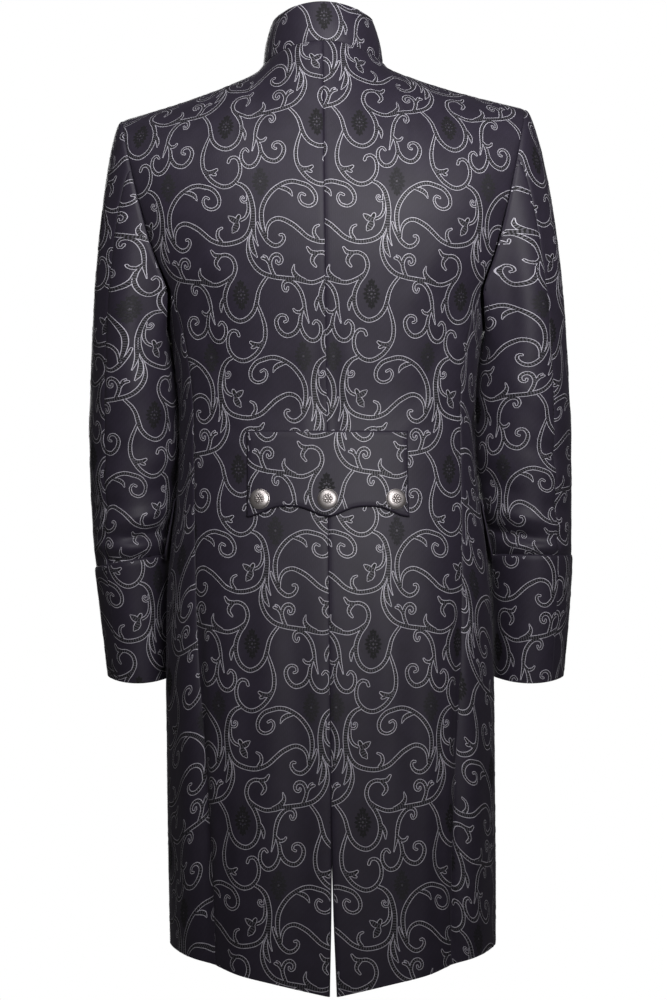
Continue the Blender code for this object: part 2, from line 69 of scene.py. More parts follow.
# %% Colour and node helpers
def linear(code):
    parts = [int(code[i : i + 2], 16) / 255 for i in (1, 3, 5)]
    return (*(p / 12.92 if p <= 0.04045 else ((p + 0.055) / 1.055) ** 2.4 for p in parts), 1.0)


def add(material, kind, settings=None, **sockets):
    """Adds a node to a material or world. A socket takes a number, a colour or (a node, its output)."""
    node = material.node_tree.nodes.new(kind)
    for name, value in (settings or {}).items():
        setattr(node, name, value)
    for name, value in sockets.items():
        socket = node.inputs[int(name[1:])] if name[0] == "i" and name[1:].isdigit() else None
        socket = socket or node.inputs[name.replace("_", " ")]
        if isinstance(value, tuple) and isinstance(value[0], bpy.types.Node):
            material.node_tree.links.new(value[0].outputs[value[1]], socket)
        else:
            socket.default_value = value
    return node


def new_material(name, **values):
    """A material with one Principled shader, whose own sockets take the uniform values."""
    made = bpy.data.materials.new(name)
    made.use_nodes = True
    shader = made.node_tree.nodes["Principled BSDF"]
    for socket, value in values.items():
        shader.inputs[socket.replace("_", " ")].default_value = value
    return made, shader


def feed(material, shader, **sources):
    """Links the first output of each node to the shader's socket of that name."""
    for socket, node in sources.items():
        material.node_tree.links.new(node.outputs[0], shader.inputs[socket.replace("_", " ")])


def ramp(material, value, places, codes):
    """A colour ramp between two stops."""
    made = add(material, "ShaderNodeValToRGB", Fac=value)
    for stop, place, code in zip(made.color_ramp.elements, places, codes):
        stop.position, stop.color = place, linear(code)
    return made

# %% [markdown]
# The coat hangs as it is worn, so the studio floor lies where the wearer would stand, half a metre
# under the hem. Further out the paper fades into the pale room, so that no edge shows.

# %% Floor
FLOOR_Z = -1.5
bpy.ops.object.select_all(action="DESELECT")
bpy.ops.mesh.primitive_circle_add(vertices=96, radius=2.2, fill_type="NGON", location=(0, 0, FLOOR_Z))
floor = bpy.context.object
floor.name = "studio_floor"
paper, paper_shader = new_material("studio_paper", Roughness=0.9, Base_Color=linear("#B9B9B7"))
noise = add(paper, "ShaderNodeTexNoise", Scale=400.0, Detail=2.0)
relief = add(paper, "ShaderNodeBump", Strength=0.05, Distance=0.001, Height=(noise, 0))
feed(paper, paper_shader, Normal=relief)
place = add(paper, "ShaderNodeTexCoord")
away = add(paper, "ShaderNodeVectorMath", {"operation": "LENGTH"}, Vector=(place, 3))
fade = add(paper, "ShaderNodeMapRange", {"interpolation_type": "SMOOTHSTEP"}, Value=(away, 1),
           From_Min=0.9, From_Max=2.1)
clear = add(paper, "ShaderNodeBsdfTransparent")
rays = add(paper, "ShaderNodeLightPath")
bright = add(paper, "ShaderNodeEmission", Color=linear("#F4F4F2"), Strength=1.0)
lift = add(paper, "ShaderNodeMath", {"operation": "MULTIPLY"}, i0=(rays, 0), i1=0.72)
pale = add(paper, "ShaderNodeMixShader", i0=(lift, 0), i1=(paper_shader, 0), i2=(bright, 0))
both = add(paper, "ShaderNodeMixShader", i0=(fade, 0), i1=(pale, 0), i2=(clear, 0))
feed(paper, paper.node_tree.nodes["Material Output"], Surface=both)
floor.data.materials.append(paper)
print("floor at", FLOOR_Z)

# %% [markdown]
# The studio light is one soft box level with the shoulders, a little to the picture's right and turned
# slightly up, so the skirt falls off darker. A small box hangs over the shoulders and a third stands on
# the coat's other side, in a pale room that looks white to the camera and is dimmer as a light.

# %% Light
def soft_box(name, place, target, size, watts):
    bpy.ops.object.select_all(action="DESELECT")
    way = Vector(target) - Vector(place)
    bpy.ops.object.light_add(type="AREA", location=place, rotation=way.to_track_quat("-Z", "Y").to_euler())
    lamp = bpy.context.object
    lamp.name = name
    lamp.data.shape = "DISK"
    lamp.data.size = size
    lamp.data.energy = watts
    return lamp


soft_box("key_soft_box", (-0.5, 1.75, 0.2), (-0.1, 0, 0.5), 0.9, 14.5).data.spread = math.radians(110)
soft_box("top_soft_box", (0.3, 1.3, 1.35), (0, 0, 0.25), 0.8, 5.5).data.spread = math.radians(125)
soft_box("front_fill", (0.6, -2.4, 0.1), (0, 0, -0.45), 1.4, 30)
world = bpy.data.worlds.new("studio_room")
bpy.context.scene.world = world
world.use_nodes = True
world.node_tree.nodes.clear()
rays = add(world, "ShaderNodeLightPath")
seen = add(world, "ShaderNodeBackground", Color=(1, 1, 1, 1))
glow = add(world, "ShaderNodeBackground", Color=linear("#F7F3F0"), Strength=0.055)
mix = add(world, "ShaderNodeMixShader", i0=(rays, 0), i1=(glow, 0), i2=(seen, 0))
add(world, "ShaderNodeOutputWorld", Surface=(mix, 0))
bpy.context.scene.view_settings.view_transform = "Standard"

# %% [markdown]
# The coat is drafted as a tailor does it: a few measured sections of the body, hem to shoulder
# blade, from which every panel is cut. The same tables gave the plain model, so the fine cloth lies
# on its form. Lengths in the tables are millimetres.

# %% The draft's sizes
WALL, LEAN = 1.6, 0.0114
SHOULDER_TILT, TILT_FADES_AT, TILT_FULL_AT, TILT_FROM, TILT_TO = 0.029, -330.0, -120.0, 20.0, 90.0
HEM_SIDE, HEM_BACK, HEM_FRONT = -992.0, -1031.0, -984.0
WAIST, SEAM_TOP, ARMHOLE_DIP = -400.0, -262.0, 43.0
# The neck's ovals: half width, middle, reach behind and in front, height behind, beside and in front.
NECK, COLLAR_TOP = (68.0, -15.0, 70.0, 73.0, 15.0, -2.0, -72.0), (57.0, -12.0, 58.0, 66.0, 60.0, 46.5, -27.0)
NECK_HALF, NECK_MIDDLE, NECK_Z_BACK, NECK_Z_SIDE = NECK[0], NECK[1], NECK[4], NECK[5]
SHOULDER_RUN, SHOULDER_DROP, SHOULDER_FORWARD, SHOULDER_SAG = 158.0, 58.5, 13.0, 0.72
COLLAR_OPENING, COLLAR_BULGE = 6.0, 2.0
LAP, LAP_LIFT, LAP_FLAT, LAP_FADED = 20.0, 3.2, 25.0, 75.0
CUFF_TOP, CUFF_END, SLEEVE_END, CUFF_SLANT, CUFF_DIP = -565.0, -702.0, -693.0, 7.0, 6.0
BELT_HALF, BELT_TOP, BELT_POINT, BELT_SCALLOP = 86.5, -421.0, -511.5, -500.5
FLAP_TOP, FLAP_DEPTH, FLAP_FLARE, FLAP_CORNER = -495.0, 70.0, 3.5, 14.0
FLAP_START, FLAP_TURN = math.radians(86), math.radians(52)
NECK_SHARE = 5 / 11  # of a panel's width at the top lies along the neck, the rest on the shoulder


def rows_of(text):
    return [[float(number) for number in row.split()] for row in text.split(";")]


def table(columns, text):
    return dict(zip(columns.split(), np.array(sorted(rows_of(text))).T))


TORSO = table("height half_width back front square", """
    -1045 183 144 136 2.25; -999 183.5 143 136 2.25; -900 184.5 139 134 2.25; -780 184.8 133 131 2.25;
    -660 184.5 126 129 2.25; -590 182 119 127 2.25; -540 177 112 124 2.25; -500 172 105 120 2.25;
    -450 167.5 98 117 2.3; -400 166.5 95 116 2.3; -330 173 103 121 2.35; -262 187 113 127 2.4;
    -225 207 117 128 2.4; -190 222 118 127 2.4; -150 236 116 122 2.4
""")
PANEL_EDGE = table("height back front", """
    -1045 133 142; -999 133 142; -910 134.5 142; -800 141 141; -660 148 140; -550 149 136; -440 148.5 129;
    -382 149 128; -325 155.5 137; -290 163.5 150; -262 172.5 163; -225 187 179; -190 197.5 190; -150 206 197
""")
OPENINGS = table("height vent lap", """
    -1045 6 -38; -999 5.4 -37; -900 2.2 -31; -830 0.9 -26; -700 0.45 -16; -600 0.35 -5; -520 0.3 10;
    -460 0.25 20; -190 0.25 20; -150 0.25 20
""")
SKIRT_FOLD = table("height sink fill", """
    -1045 6.5 3.5; -900 6 3.2; -760 5 2.6; -640 3.5 1.6; -540 1.5 0.6; -470 0 0; -150 0 0
""")
FOLD_WIDTH, FILL_SHIFT, FILL_FROM, FILL_WIDTH = 17.0, 26.0, 38.0, 20.0
SLEEVE = table("height inner outer middle half_depth right_inner right_outer", """
    -740 181 250 -61 56 187 263; -702 181.5 253 -57 56 187 266; -650 182 258 -52 57 186 271;
    -600 183 263 -47 58 185 275; -550 183 268 -42 60 183 277.5; -500 173 270.5 -37 62.5 174 278;
    -450 168 272 -32 65.5 167.5 278.5; -400 167 270.7 -26 68 166.5 277.5; -345 171.5 267.5 -19 70 171 274.5;
    -300 177.5 264 -14 71 177.5 271
""")
UPPER_ARM, CAP_ROLL = -345.0, 14.0
HIND_SEAM, FORE_SEAM = 0.150, 0.655  # places round the sleeve, as shares of a turn
print("draft from hem", HEM_BACK, "to neck", NECK_Z_BACK, "mm")

# %% [markdown]
# Creases are set as lines on the cloth, deep in the middle and fading at both ends. Each is
# place, height, place, height, depth and width. Minus is a trough, plus a ridge. A place on the body is
# millimetres round it from the centre back, and on a sleeve a share of a turn from its outer side.

# %% Crease lines
BODY_CREASES = rows_of("""
    8 -480 10 -300 -1.1 7; 22 -470 27 -290 1 10; -30 -440 -60 -360 -0.9 8; 60 -455 120 -405 -1.2 9;
    75 -440 150 -365 1.2 10; 110 -380 165 -285 -1.6 12; 90 -300 150 -200 1.2 14; 40 -560 34 -1020 -1.8 16;
    66 -540 74 -1020 1.8 17; 104 -600 100 -1020 -1.6 15; 14 -600 10 -1010 1 11; 185 -560 190 -1000 1.8 16;
    215 -600 222 -1000 -1.8 15; 150 -255 168 -330 -1.4 9; 30 -120 95 -165 0.7 16; 60 -70 140 -130 -0.8 14;
    320 -470 350 -1000 1.6 18; 290 -560 300 -1000 -1.8 16; 260 -440 330 -400 -1.2 10;
    250 -300 330 -200 1 16; 375 -560 372 -960 -1.4 15; 170 -560 161 -1020 -3.4 8; 150 -620 143 -1000 2.2 9;
    128 -700 122 -1020 -1.2 10
""")
SLEEVE_CREASES = rows_of("""
    0.07 -529 0.26 -519 2.4 7; 0.2 -541 0.52 -524 -8.5 5.6; 0.2 -520 0.5 -503 5 8;
    0.07 -509 0.22 -497 -2.6 7; -0.16 -545 0.02 -552 -1.4 7; -0.14 -526 0.03 -536 1.2 7;
    0.04 -549 0.44 -546 3.6 7; 0.1 -562 0.6 -560 -4.4 4.5; 0.6 -478 0.8 -460 -2.8 8;
    0.58 -452 0.79 -436 2.2 9; 0.33 -415 0.54 -395 -3.4 11; 0.05 -475 0.24 -462 2 9;
    0.08 -452 0.3 -430 -2.2 11; 0.28 -490 0.5 -468 -3.4 9; 0.3 -455 0.5 -436 2.6 10;
    0.18 -400 0.34 -352 2 13; 0.02 -390 0.16 -330 -1.5 14; 0.2 -310 0.27 -170 -2.4 13;
    0.12 -300 0.15 -150 2 14; 0.72 -290 0.8 -160 -1.6 13; 0.5 -545 0.7 -530 -3 8; 0.52 -520 0.72 -508 2.2 8;
    -0.05 -505 0.04 -420 -1 12; 0.3 -350 0.46 -250 -2.2 13
""")
FADE = 0.42  # the share of its length that a crease is deep for, to each side of its middle
HALF_ROUND, SLEEVE_ROUND = 430, 340.0  # millimetres from centre back to centre front, and round a sleeve


def pushed(place, height, creases, lap=None):
    """The sum of all creases at each point. lap is the length after which places come round again."""
    total, scale = 0, lap or 1
    for x0, z0, x1, z1, depth, width in creases:
        dx, dz = x1 - x0, z1 - z0
        away = place - x0
        if lap:
            away = (away + 0.5 - dx / 2) % 1 - 0.5 + dx / 2
        away, run = away * scale, dx * scale
        share = (away * run + (height - z0) * dz) / (run * run + dz * dz)
        across = (away * dz - (height - z0) * run) / math.hypot(run, dz)
        fade = np.exp(-(((share - 0.5) / FADE) ** 4))
        total = total + depth * fade * np.exp(-((across / width) ** 2))
    return total


print(len(BODY_CREASES), "creases on the body,", len(SLEEVE_CREASES), "on each sleeve")

# %% [markdown]
# The body's surface: a rounded-square section at each height, drawn in at the waist, with the skirt's
# fold along the side-back seam.

# %% The body's surface
def smooth(sections, column, height):
    known, values = sections["height"], sections[column]
    slopes = np.gradient(values, known)
    row = np.clip(np.searchsorted(known, height) - 1, 0, len(known) - 2)
    span = known[row + 1] - known[row]
    t = np.clip((height - known[row]) / span, 0, 1)
    return (
        values[row] * (1 + 2 * t) * (1 - t) ** 2 + values[row + 1] * t * t * (3 - 2 * t)
        + slopes[row] * span * t * (1 - t) ** 2 - slopes[row + 1] * span * t * t * (1 - t)
    )


def step(low, high, value):
    t = np.clip((value - low) / (high - low), 0, 1)
    return t * t * (3 - 2 * t)


def unit(vectors):
    return vectors / np.maximum(np.linalg.norm(vectors, axis=-1, keepdims=True), 1e-12)


def run_along(points, axis=0):
    """Lengths from the first point along a row of points, or along one axis of a grid of them."""
    steps = np.linalg.norm(np.diff(points, axis=axis), axis=-1)
    return np.concatenate([np.zeros_like(steps.take([0], axis)), np.cumsum(steps, axis=axis)], axis)


def arc(start, start_way, end, end_way, t, start_reach=None):
    """Points at t of the smooth arcs that leave start along start_way and reach end along end_way."""
    chord = np.linalg.norm(end - start, axis=-1, keepdims=True)
    turn = np.arccos(np.clip((start_way * end_way).sum(-1, keepdims=True), -1, 1))
    reach = chord / (3 * np.cos(turn / 4) ** 2)
    first = start + start_way * (reach if start_reach is None else start_reach)
    last = end - end_way * (reach if start_reach is None else chord * 0.5)
    t = np.reshape(t, (-1, 1, 1))
    return start * (1 - t) ** 3 + 3 * first * t * (1 - t) ** 2 + 3 * last * t * t * (1 - t) + end * t**3


def torso(angle, height, creased=True):
    """Outer face of the left half. angle is 0 at centre back, pi/2 at the side, pi at centre front."""
    half, square = smooth(TORSO, "half_width", height), smooth(TORSO, "square", height)
    sine, cosine = np.sin(angle), np.cos(angle)
    depth = np.where(cosine >= 0, smooth(TORSO, "back", height), smooth(TORSO, "front", height))
    x = half * np.sign(sine) * np.abs(sine) ** (2 / square)
    y = depth * np.sign(cosine) * np.abs(cosine) ** (2 / square)
    way = np.stack([x / half**2, y / depth**2])
    way = way / np.hypot(*way)
    from_seam = np.where(cosine >= 0, x - smooth(PANEL_EDGE, "back", height), 2 * FILL_SHIFT + depth)
    sink = smooth(SKIRT_FOLD, "sink", height) * np.exp(-((from_seam / FOLD_WIDTH) ** 2))
    beside = (from_seam + FILL_FROM) / FILL_WIDTH
    push = smooth(SKIRT_FOLD, "fill", height) * np.exp(-(beside**2)) - sink
    if creased:
        place = np.where(cosine >= 0, x + 0.55 * (depth - y), HALF_ROUND - np.abs(x) + 0.5 * (y + depth))
        push = push + pushed(place, height, BODY_CREASES)
    return np.stack([x + way[0] * push, y + way[1] * push, height + 0 * x], -1)


def angle_at(x, height, side):
    share = x / smooth(TORSO, "half_width", height)
    turn = np.sign(share) * np.arcsin(np.abs(share) ** (smooth(TORSO, "square", height) / 2))
    return turn if side == "back" else math.pi - turn


def even_angles(first, last, height, columns):
    """Angles that divide a section's stretch into equal lengths."""
    dense = np.linspace(first, last, 300)
    run = run_along(torso(dense, np.full(300, height), False))
    return np.interp(columns * run[-1], run, dense)


def at_hem(angle, height):
    reach = 1 - np.abs(np.sin(angle)) ** (2 / smooth(TORSO, "square", height))
    drop = np.where(np.cos(angle) > 0, HEM_BACK - HEM_SIDE, HEM_FRONT - HEM_SIDE)
    return height + drop * reach * (1 - step(HEM_SIDE, WAIST, height))


def neck_ring(angle, half, middle, back, front, z_back, z_side, z_front):
    """An oval round the neck. angle is 0 behind and pi in front."""
    sine, cosine = np.sin(angle), np.cos(angle)
    deep, rise = np.where(cosine > 0, back, front), np.where(cosine > 0, z_back - z_side, z_front - z_side)
    return np.stack([half * sine, middle + deep * cosine, z_side + rise * cosine**2], -1)


def shoulder_seam(share):
    x = NECK_HALF + SHOULDER_RUN * share
    y = NECK_MIDDLE + SHOULDER_FORWARD * share
    return np.stack([x, y, NECK_Z_SIDE - SHOULDER_DROP * share**SHOULDER_SAG], -1)


def posed(points, side):
    """Points of a left piece on its own side (1 left, -1 right), with the coat's lean, in metres."""
    x, y, z = points[..., 0] * side, points[..., 1], points[..., 2]
    tilt = SHOULDER_TILT * x * step(TILT_FADES_AT, TILT_FULL_AT, z) * step(TILT_FROM, TILT_TO, np.abs(x))
    return np.stack([x + LEAN * z, y, z - tilt], -1) * MM

# %% [markdown]
# Each panel is cut from that surface as a grid of points, close enough for its creases. Columns and
# rows crowd together at the edges, where a seam pulls the cloth into a groove.

# %% Panels as fine grids
EDGE_STEPS = (0.0, 0.9, 2.0, 3.6, 6.0)  # millimetres from a seam or a fold


def crowded(length, spacing, extra=()):
    """Shares from 0 to 1 of a length, spaced evenly but crowded at both ends."""
    edge = np.array(EDGE_STEPS) / length
    inside = np.linspace(edge[-1], 1 - edge[-1], max(3, round(length / spacing)))
    return np.unique(np.concatenate([edge, inside, 1 - edge[::-1], extra]).round(6))


HEIGHTS = np.unique(np.concatenate([
    HEM_SIDE + np.array(EDGE_STEPS), np.linspace(HEM_SIDE + EDGE_STEPS[-1], -190, 168), [SEAM_TOP]]))
SHOULDER_STEPS = np.concatenate([np.linspace(0.028, 0.97, 36), [0.985, 0.994, 1.0]])


def panel(side):
    """The left back or left front, its rows from the hem to the shoulder."""
    columns = crowded(150, 4.0, [NECK_SHARE])
    rows = []
    for height in HEIGHTS:
        last = angle_at(smooth(PANEL_EDGE, side, height), height, side)
        opening = smooth(OPENINGS, "vent", height) if side == "back" else -smooth(OPENINGS, "lap", height)
        angles = even_angles(angle_at(opening, height, side), last, height, columns)
        rows.append(torso(angles, at_hem(angles, np.full(columns.shape, height))))
    rows = np.array(rows)
    facing = 1 if side == "back" else -1
    neck = columns[columns <= NECK_SHARE + 1e-6] / NECK_SHARE
    if side == "back":
        neck_angles = np.minimum(math.asin(0.3 / NECK_HALF) + math.pi / 2 * neck, math.pi / 2)
    else:
        neck_angles = math.pi + math.asin(LAP / NECK_HALF) * (1 - neck) - math.pi / 2 * neck
    shoulder = (columns[len(neck):] - NECK_SHARE) / (1 - NECK_SHARE)
    top = np.concatenate([neck_ring(neck_angles, *NECK), shoulder_seam(shoulder)])
    aside = 1 - np.abs(np.cos(neck_angles))
    climb = np.stack([-0.25 * aside, facing * (-0.45 - 0.45 * aside), 0.9 - 0.65 * aside], -1)
    across = np.tile([0.0, -facing, 0.0], (len(shoulder), 1))
    end_way = unit(np.concatenate([climb, across]))
    near = np.exp(-(((columns[:, None] - columns[None]) / 0.09) ** 2))
    end_way = unit(near @ end_way)
    start_way = unit(rows[-1] - rows[-3])
    upper = arc(rows[-1], start_way, top, end_way, SHOULDER_STEPS)
    return np.concatenate([rows, upper])


def side_panel():
    share = crowded(110, 4.2)
    top = SEAM_TOP - ARMHOLE_DIP * np.sin(math.pi * share) ** 0.8
    rows = []
    for level in HEIGHTS[HEIGHTS <= SEAM_TOP]:
        height = HEM_SIDE + (top - HEM_SIDE) * (level - HEM_SIDE) / (SEAM_TOP - HEM_SIDE)
        first = angle_at(smooth(PANEL_EDGE, "back", height), height, "back")
        last = angle_at(smooth(PANEL_EDGE, "front", height), height, "front")
        angle = first + (last - first) * share
        rows.append(torso(angle, at_hem(angle, height)))
    return np.array(rows)


def normals(grid, wrap=False):
    """Across the grid's rows and columns: outwards where the columns run to the viewer's left."""
    wide = np.concatenate([grid[:, -2:-1], grid, grid[:, 1:2]], 1) if wrap else grid
    along, across = np.gradient(wide, axis=0), np.gradient(wide, axis=1)
    if wrap:
        along, across = along[:, 1:-1], across[:, 1:-1]
    return unit(np.cross(along, across))


def moved_out(grid, distance, wrap=False):
    return grid + normals(grid, wrap) * np.asarray(distance, float)[..., None]


back_grid, front_grid, side_grid = panel("back"), panel("front"), side_panel()
print("back grid", back_grid.shape, "side grid", side_grid.shape)

# %% [markdown]
# A sleeve starts at the armhole's loop, rolls over the shoulder's edge and then follows its own
# sections down to the cuff.

# %% Sleeves as fine grids
def armhole(turns):
    start = list(HEIGHTS).index(SEAM_TOP)
    loop = np.concatenate([back_grid[start:, -1][::-1], side_grid[-1][1:-1], front_grid[start:, -1]])
    run = run_along(loop)
    places = (turns % 1) * run[-1]
    return np.stack([np.interp(places, run, loop[:, axis]) for axis in range(3)], -1)


def arm_section(turn, height, side, creased=True):
    """The sleeve's outer face. turn is a share of a turn from the outer side."""
    inner = smooth(SLEEVE, "inner" if side == 1 else "right_inner", height)
    outer = smooth(SLEEVE, "outer" if side == 1 else "right_outer", height)
    middle, deep = smooth(SLEEVE, "middle", height), smooth(SLEEVE, "half_depth", height)
    crease_turn = turn if side == 1 else turn + 0.015
    push = pushed(crease_turn, height, SLEEVE_CREASES, SLEEVE_ROUND) if creased else 0
    angle = 2 * math.pi * turn
    inside = 0.25 + 0.75 * step(-1.0, 0.2, np.cos(angle))  # pressed flat beside the body
    x = (outer + inner) / 2 + ((outer - inner) / 2 + push * inside) * np.cos(angle)
    y = middle + (deep + push) * np.sin(angle)
    return np.stack([x, y, height + 0 * x], -1)


CAP_WAY, UNDERARM_WAY = np.array([1.0, 0.0, 0.12]), np.array([0.0, 0.0, -0.5])
SLEEVE_HEIGHTS = np.append(np.linspace(UPPER_ARM - 4, SLEEVE_END + 6, 88), [SLEEVE_END + 2, SLEEVE_END])


def sleeve(turns, side):
    ring = arm_section(turns, np.full(turns.shape, UPPER_ARM), side)
    below = arm_section(turns, np.full(turns.shape, UPPER_ARM - 4), side)
    outward = np.cos(2 * math.pi * turns)[:, None]
    start = armhole(turns) + np.array([1.0, 0, 0]) * (0.4 + 2.2 * (1 - outward) / 2)
    start_way = unit(CAP_WAY * (0.62 + 0.38 * outward) + UNDERARM_WAY * (1 - outward))
    steps = np.concatenate([[0, 0.01, 0.025, 0.045, 0.07], np.linspace(0.1, 1, 36)])
    cap = arc(start, start_way, ring, unit(below - ring), steps, CAP_ROLL * (0.55 + 0.45 * outward))
    rows = [arm_section(turns, np.full(turns.shape, height), side) for height in SLEEVE_HEIGHTS]
    return np.concatenate([cap, np.array(rows)])[::-1]


TOP_TURNS = FORE_SEAM - 1 + (HIND_SEAM - FORE_SEAM + 1) * crowded(175, 4.2)
UNDER_TURNS = HIND_SEAM + (FORE_SEAM - HIND_SEAM) * crowded(165, 4.4)


def cuff(side):
    """The deep cuff, from the hind seam once round."""
    turns = HIND_SEAM + crowded(340, 4.4)
    outward = np.cos(2 * math.pi * turns)
    top = CUFF_TOP - CUFF_SLANT * outward if side == 1 else CUFF_TOP + CUFF_SLANT + 0 * outward
    end = CUFF_END + CUFF_DIP * outward**2  # the band dips a little behind and in front
    rows = np.array([arm_section(turns, end + (top - end) * rise, side, False) for rise in crowded(137, 4.5)])
    return moved_out(rows, np.full(rows.shape[:2], -WALL - 0.6), wrap=True)


print("sleeve rows", sleeve(TOP_TURNS, 1).shape)

# %% [markdown]
# The collar is a strip that leans in and bulges a little. The half belt and the pocket flaps are
# sheets laid on the body.

# %% Collar, half belt and flaps as grids
def collar():
    end = math.pi - math.asin(COLLAR_OPENING / 2 / COLLAR_TOP[0])
    angle = -end + 2 * end * crowded(400, 4.0)
    sine, cosine = np.sin(angle), np.cos(angle)
    top, bottom = neck_ring(angle, *COLLAR_TOP), neck_ring(angle, *NECK)
    gap = np.where(cosine > 0, 0.2, 0.2 + 2.6 * cosine**2)
    bottom = bottom + unit(top - bottom) * gap[:, None]
    rises = crowded(46, 3.4)
    grid = np.array([bottom + (top - bottom) * rise for rise in rises])
    out = unit(np.stack([sine, cosine, 0 * sine], -1))
    return grid + out * (COLLAR_BULGE * np.sin(math.pi * rises))[:, None, None]


def across_back(x, height):
    points = torso(angle_at(np.abs(x), height, "back"), height, False)
    points[..., 0] *= np.where(x < 0, -1, 1)
    return points


def half_belt():
    x = BELT_HALF * (2 * crowded(2 * BELT_HALF, 3.2) - 1)
    low = BELT_SCALLOP + (BELT_POINT - BELT_SCALLOP) * np.abs(np.cos(math.pi * x / BELT_HALF)) ** 3.2
    rises = crowded(85, 3.4)
    grid = np.array([across_back(x, low + (BELT_TOP - low) * rise) for rise in rises])
    out = WALL + 0.9 + 1.1 * (1 - rises) ** 3  # its lower edge stands off a little
    return moved_out(grid, np.tile(out[:, None], (1, len(x))))


def flap():
    columns, rows = crowded(120, 4.5), crowded(70, 4.0)
    corner = FLAP_CORNER * (1 - np.sin(np.arccos(np.clip(1 - columns / 0.14, 0, 1))))
    low, angle = FLAP_TOP - FLAP_DEPTH + (corner + corner[::-1]), FLAP_START + FLAP_TURN * columns
    grid = np.array([torso(angle, low + (FLAP_TOP - low) * rise, False) for rise in rows])
    out = WALL + 1.2 + FLAP_FLARE * (1 - rows) ** 1.4
    return moved_out(grid, np.tile(out[:, None], (1, len(columns))))


print("collar", collar().shape, "belt", half_belt().shape, "flap", flap().shape)

# %% [markdown]
# The brocade's scrolls are an old kind of pattern: one stem that waves up the cloth, with curling
# branches, horn-shaped spurs and small flowers. Half a repeat is charted here on point paper.
# The other half is the same chart turned over, which keeps the cloth from looking like rows of
# stamps. Chart places count small squares, to the right and down.

# %% The chart of half a repeat
REPEAT, HALF_DROP = 106.2, 192.0
SQUARE, SQUARE_DOWN = 0.1351, 0.13588
TURN_OVER = 590  # a stroke at x comes back at TURN_OVER - x in the other half
# A stroke: half widths along it, whether its first and last ends are rounded off, its places (x,y).
STEMS = (
    ((8, 14, 16, 16, 13, 11), "01", 470,1062, 490,1120, 513,1190, 528,1270, 520,1360, 478,1440, 420,1500,
        345,1535, 275,1520, 222,1465, 203,1395, 215,1325, 250,1290, 290,1298, 304,1330),
    ((12, 16, 19, 17, 11), "01", 516,1375, 480,1408, 436,1406, 402,1388),
    ((8, 12, 9), "01", 448,1408, 430,1424, 412,1430),
    ((10, 16, 17, 17, 15, 13), "00", 565,862, 520,920, 490,980, 470,1060, 445,1130, 390,1190, 315,1212,
        245,1170, 208,1090, 207,1000, 240,915, 288,845, 312,775, 292,705, 240,672, 180,676),
    ((14, 16, 8), "01", 192,674, 146,668, 118,632),
    ((15, 16, 13, 8), "01", 186,680, 157,712, 152,748, 178,782),
    ((3, 15, 17, 17, 16, 15, 13), "00", 437,520, 425,590, 424,650, 441,715, 478,780, 538,832, 630,862,
        720,875, 800,885, 860,902, 936,910, 1016,880, 1076,838),
    ((11, 17, 19, 19, 18, 12, 2), "00", 352,95, 400,118, 445,170, 470,250, 480,330, 478,420, 478,500,
        490,560, 509,614),
    ((5, 14, 19, 17, 2), "00", 466,500, 453,570, 464,640, 496,704),
    ((3, 11, 12, 11, 10), "00", 434,200, 444,270, 440,335, 412,382, 372,402),
    ((7, 8, 7, 6), "01", 440,250, 405,256, 384,232, 396,208, 410,222),
    ((6, 14, 17, 16, 16, 17, 15, 8), "00", 582,545, 583,490, 600,440, 640,405, 700,398, 786,440, 846,490,
        916,550, 1006,583, 1096,578, 1176,548, 1226,490, 1249,410, 1256,330),
    ((14, 13, 11, 7), "01", 992,568, 964,520, 972,472, 1004,454),
    ((10, 17, 17, 16, 16, 14, 10, 8), "01", 577,545, 556,470, 546,390, 555,310, 590,235, 650,165, 730,115,
        800,98, 866,110, 940,140, 988,205, 985,270, 935,300, 878,280, 855,232, 874,197, 904,210),
    ((5, 17, 16, 2), "00", 690,146, 742,154, 784,180, 804,222),
    ((8, 13, 16, 16, 12, 9), "11", 512,426, 525,470, 555,530, 590,580, 640,612, 690,600, 720,560, 712,527,
        690,528),
    ((13, 14, 13, 9), "01", 628,856, 604,800, 592,755, 566,722, 534,708),
    ((7, 9, 6), "01", 580,730, 567,702, 548,690),
    ((8, 13, 14, 11, 8), "01", 600,800, 600,735, 625,692, 665,685, 692,714, 684,750, 655,756, 650,734),
    ((8, 18, 19, 12, 2), "00", 880,892, 832,878, 797,850, 780,812, 792,764),
    ((8, 10, 14, 15, 14, 11, 2), "10", 730,950, 722,976, 700,972, 690,938, 706,905, 748,898, 792,925,
        832,985, 852,1060, 862,1140, 886,1240),
    ((6, 15, 17, 17, 15, 10, 8), "01", 848,1120, 822,1190, 808,1255, 765,1315, 695,1335, 640,1290, 622,1220,
        654,1172, 702,1178, 712,1216, 688,1226),
    ((5, 13, 16, 15, 12, 8), "01", 812,1180, 826,1290, 870,1362, 930,1374, 976,1322, 978,1250, 945,1216,
        920,1240),
    ((9, 13, 12, 7), "01", 856,1108, 824,1148, 784,1144, 768,1124),
    ((4, 15, 15, 2), "00", 212,995, 184,1040, 166,1084, 164,1138),
)
PETALS = (
    ((8, 24, 20, 2), "00", 352,412, 318,396, 274,362),
    ((8, 17, 18, 14), "01", 352,408, 354,384, 363,366),
    ((10, 27, 25, 2), "00", 350,408, 334,452, 302,500),
)
FIGURES = ((345, 1000, 1), (550, 90, 0))  # middle, and whether the figure is a strong one


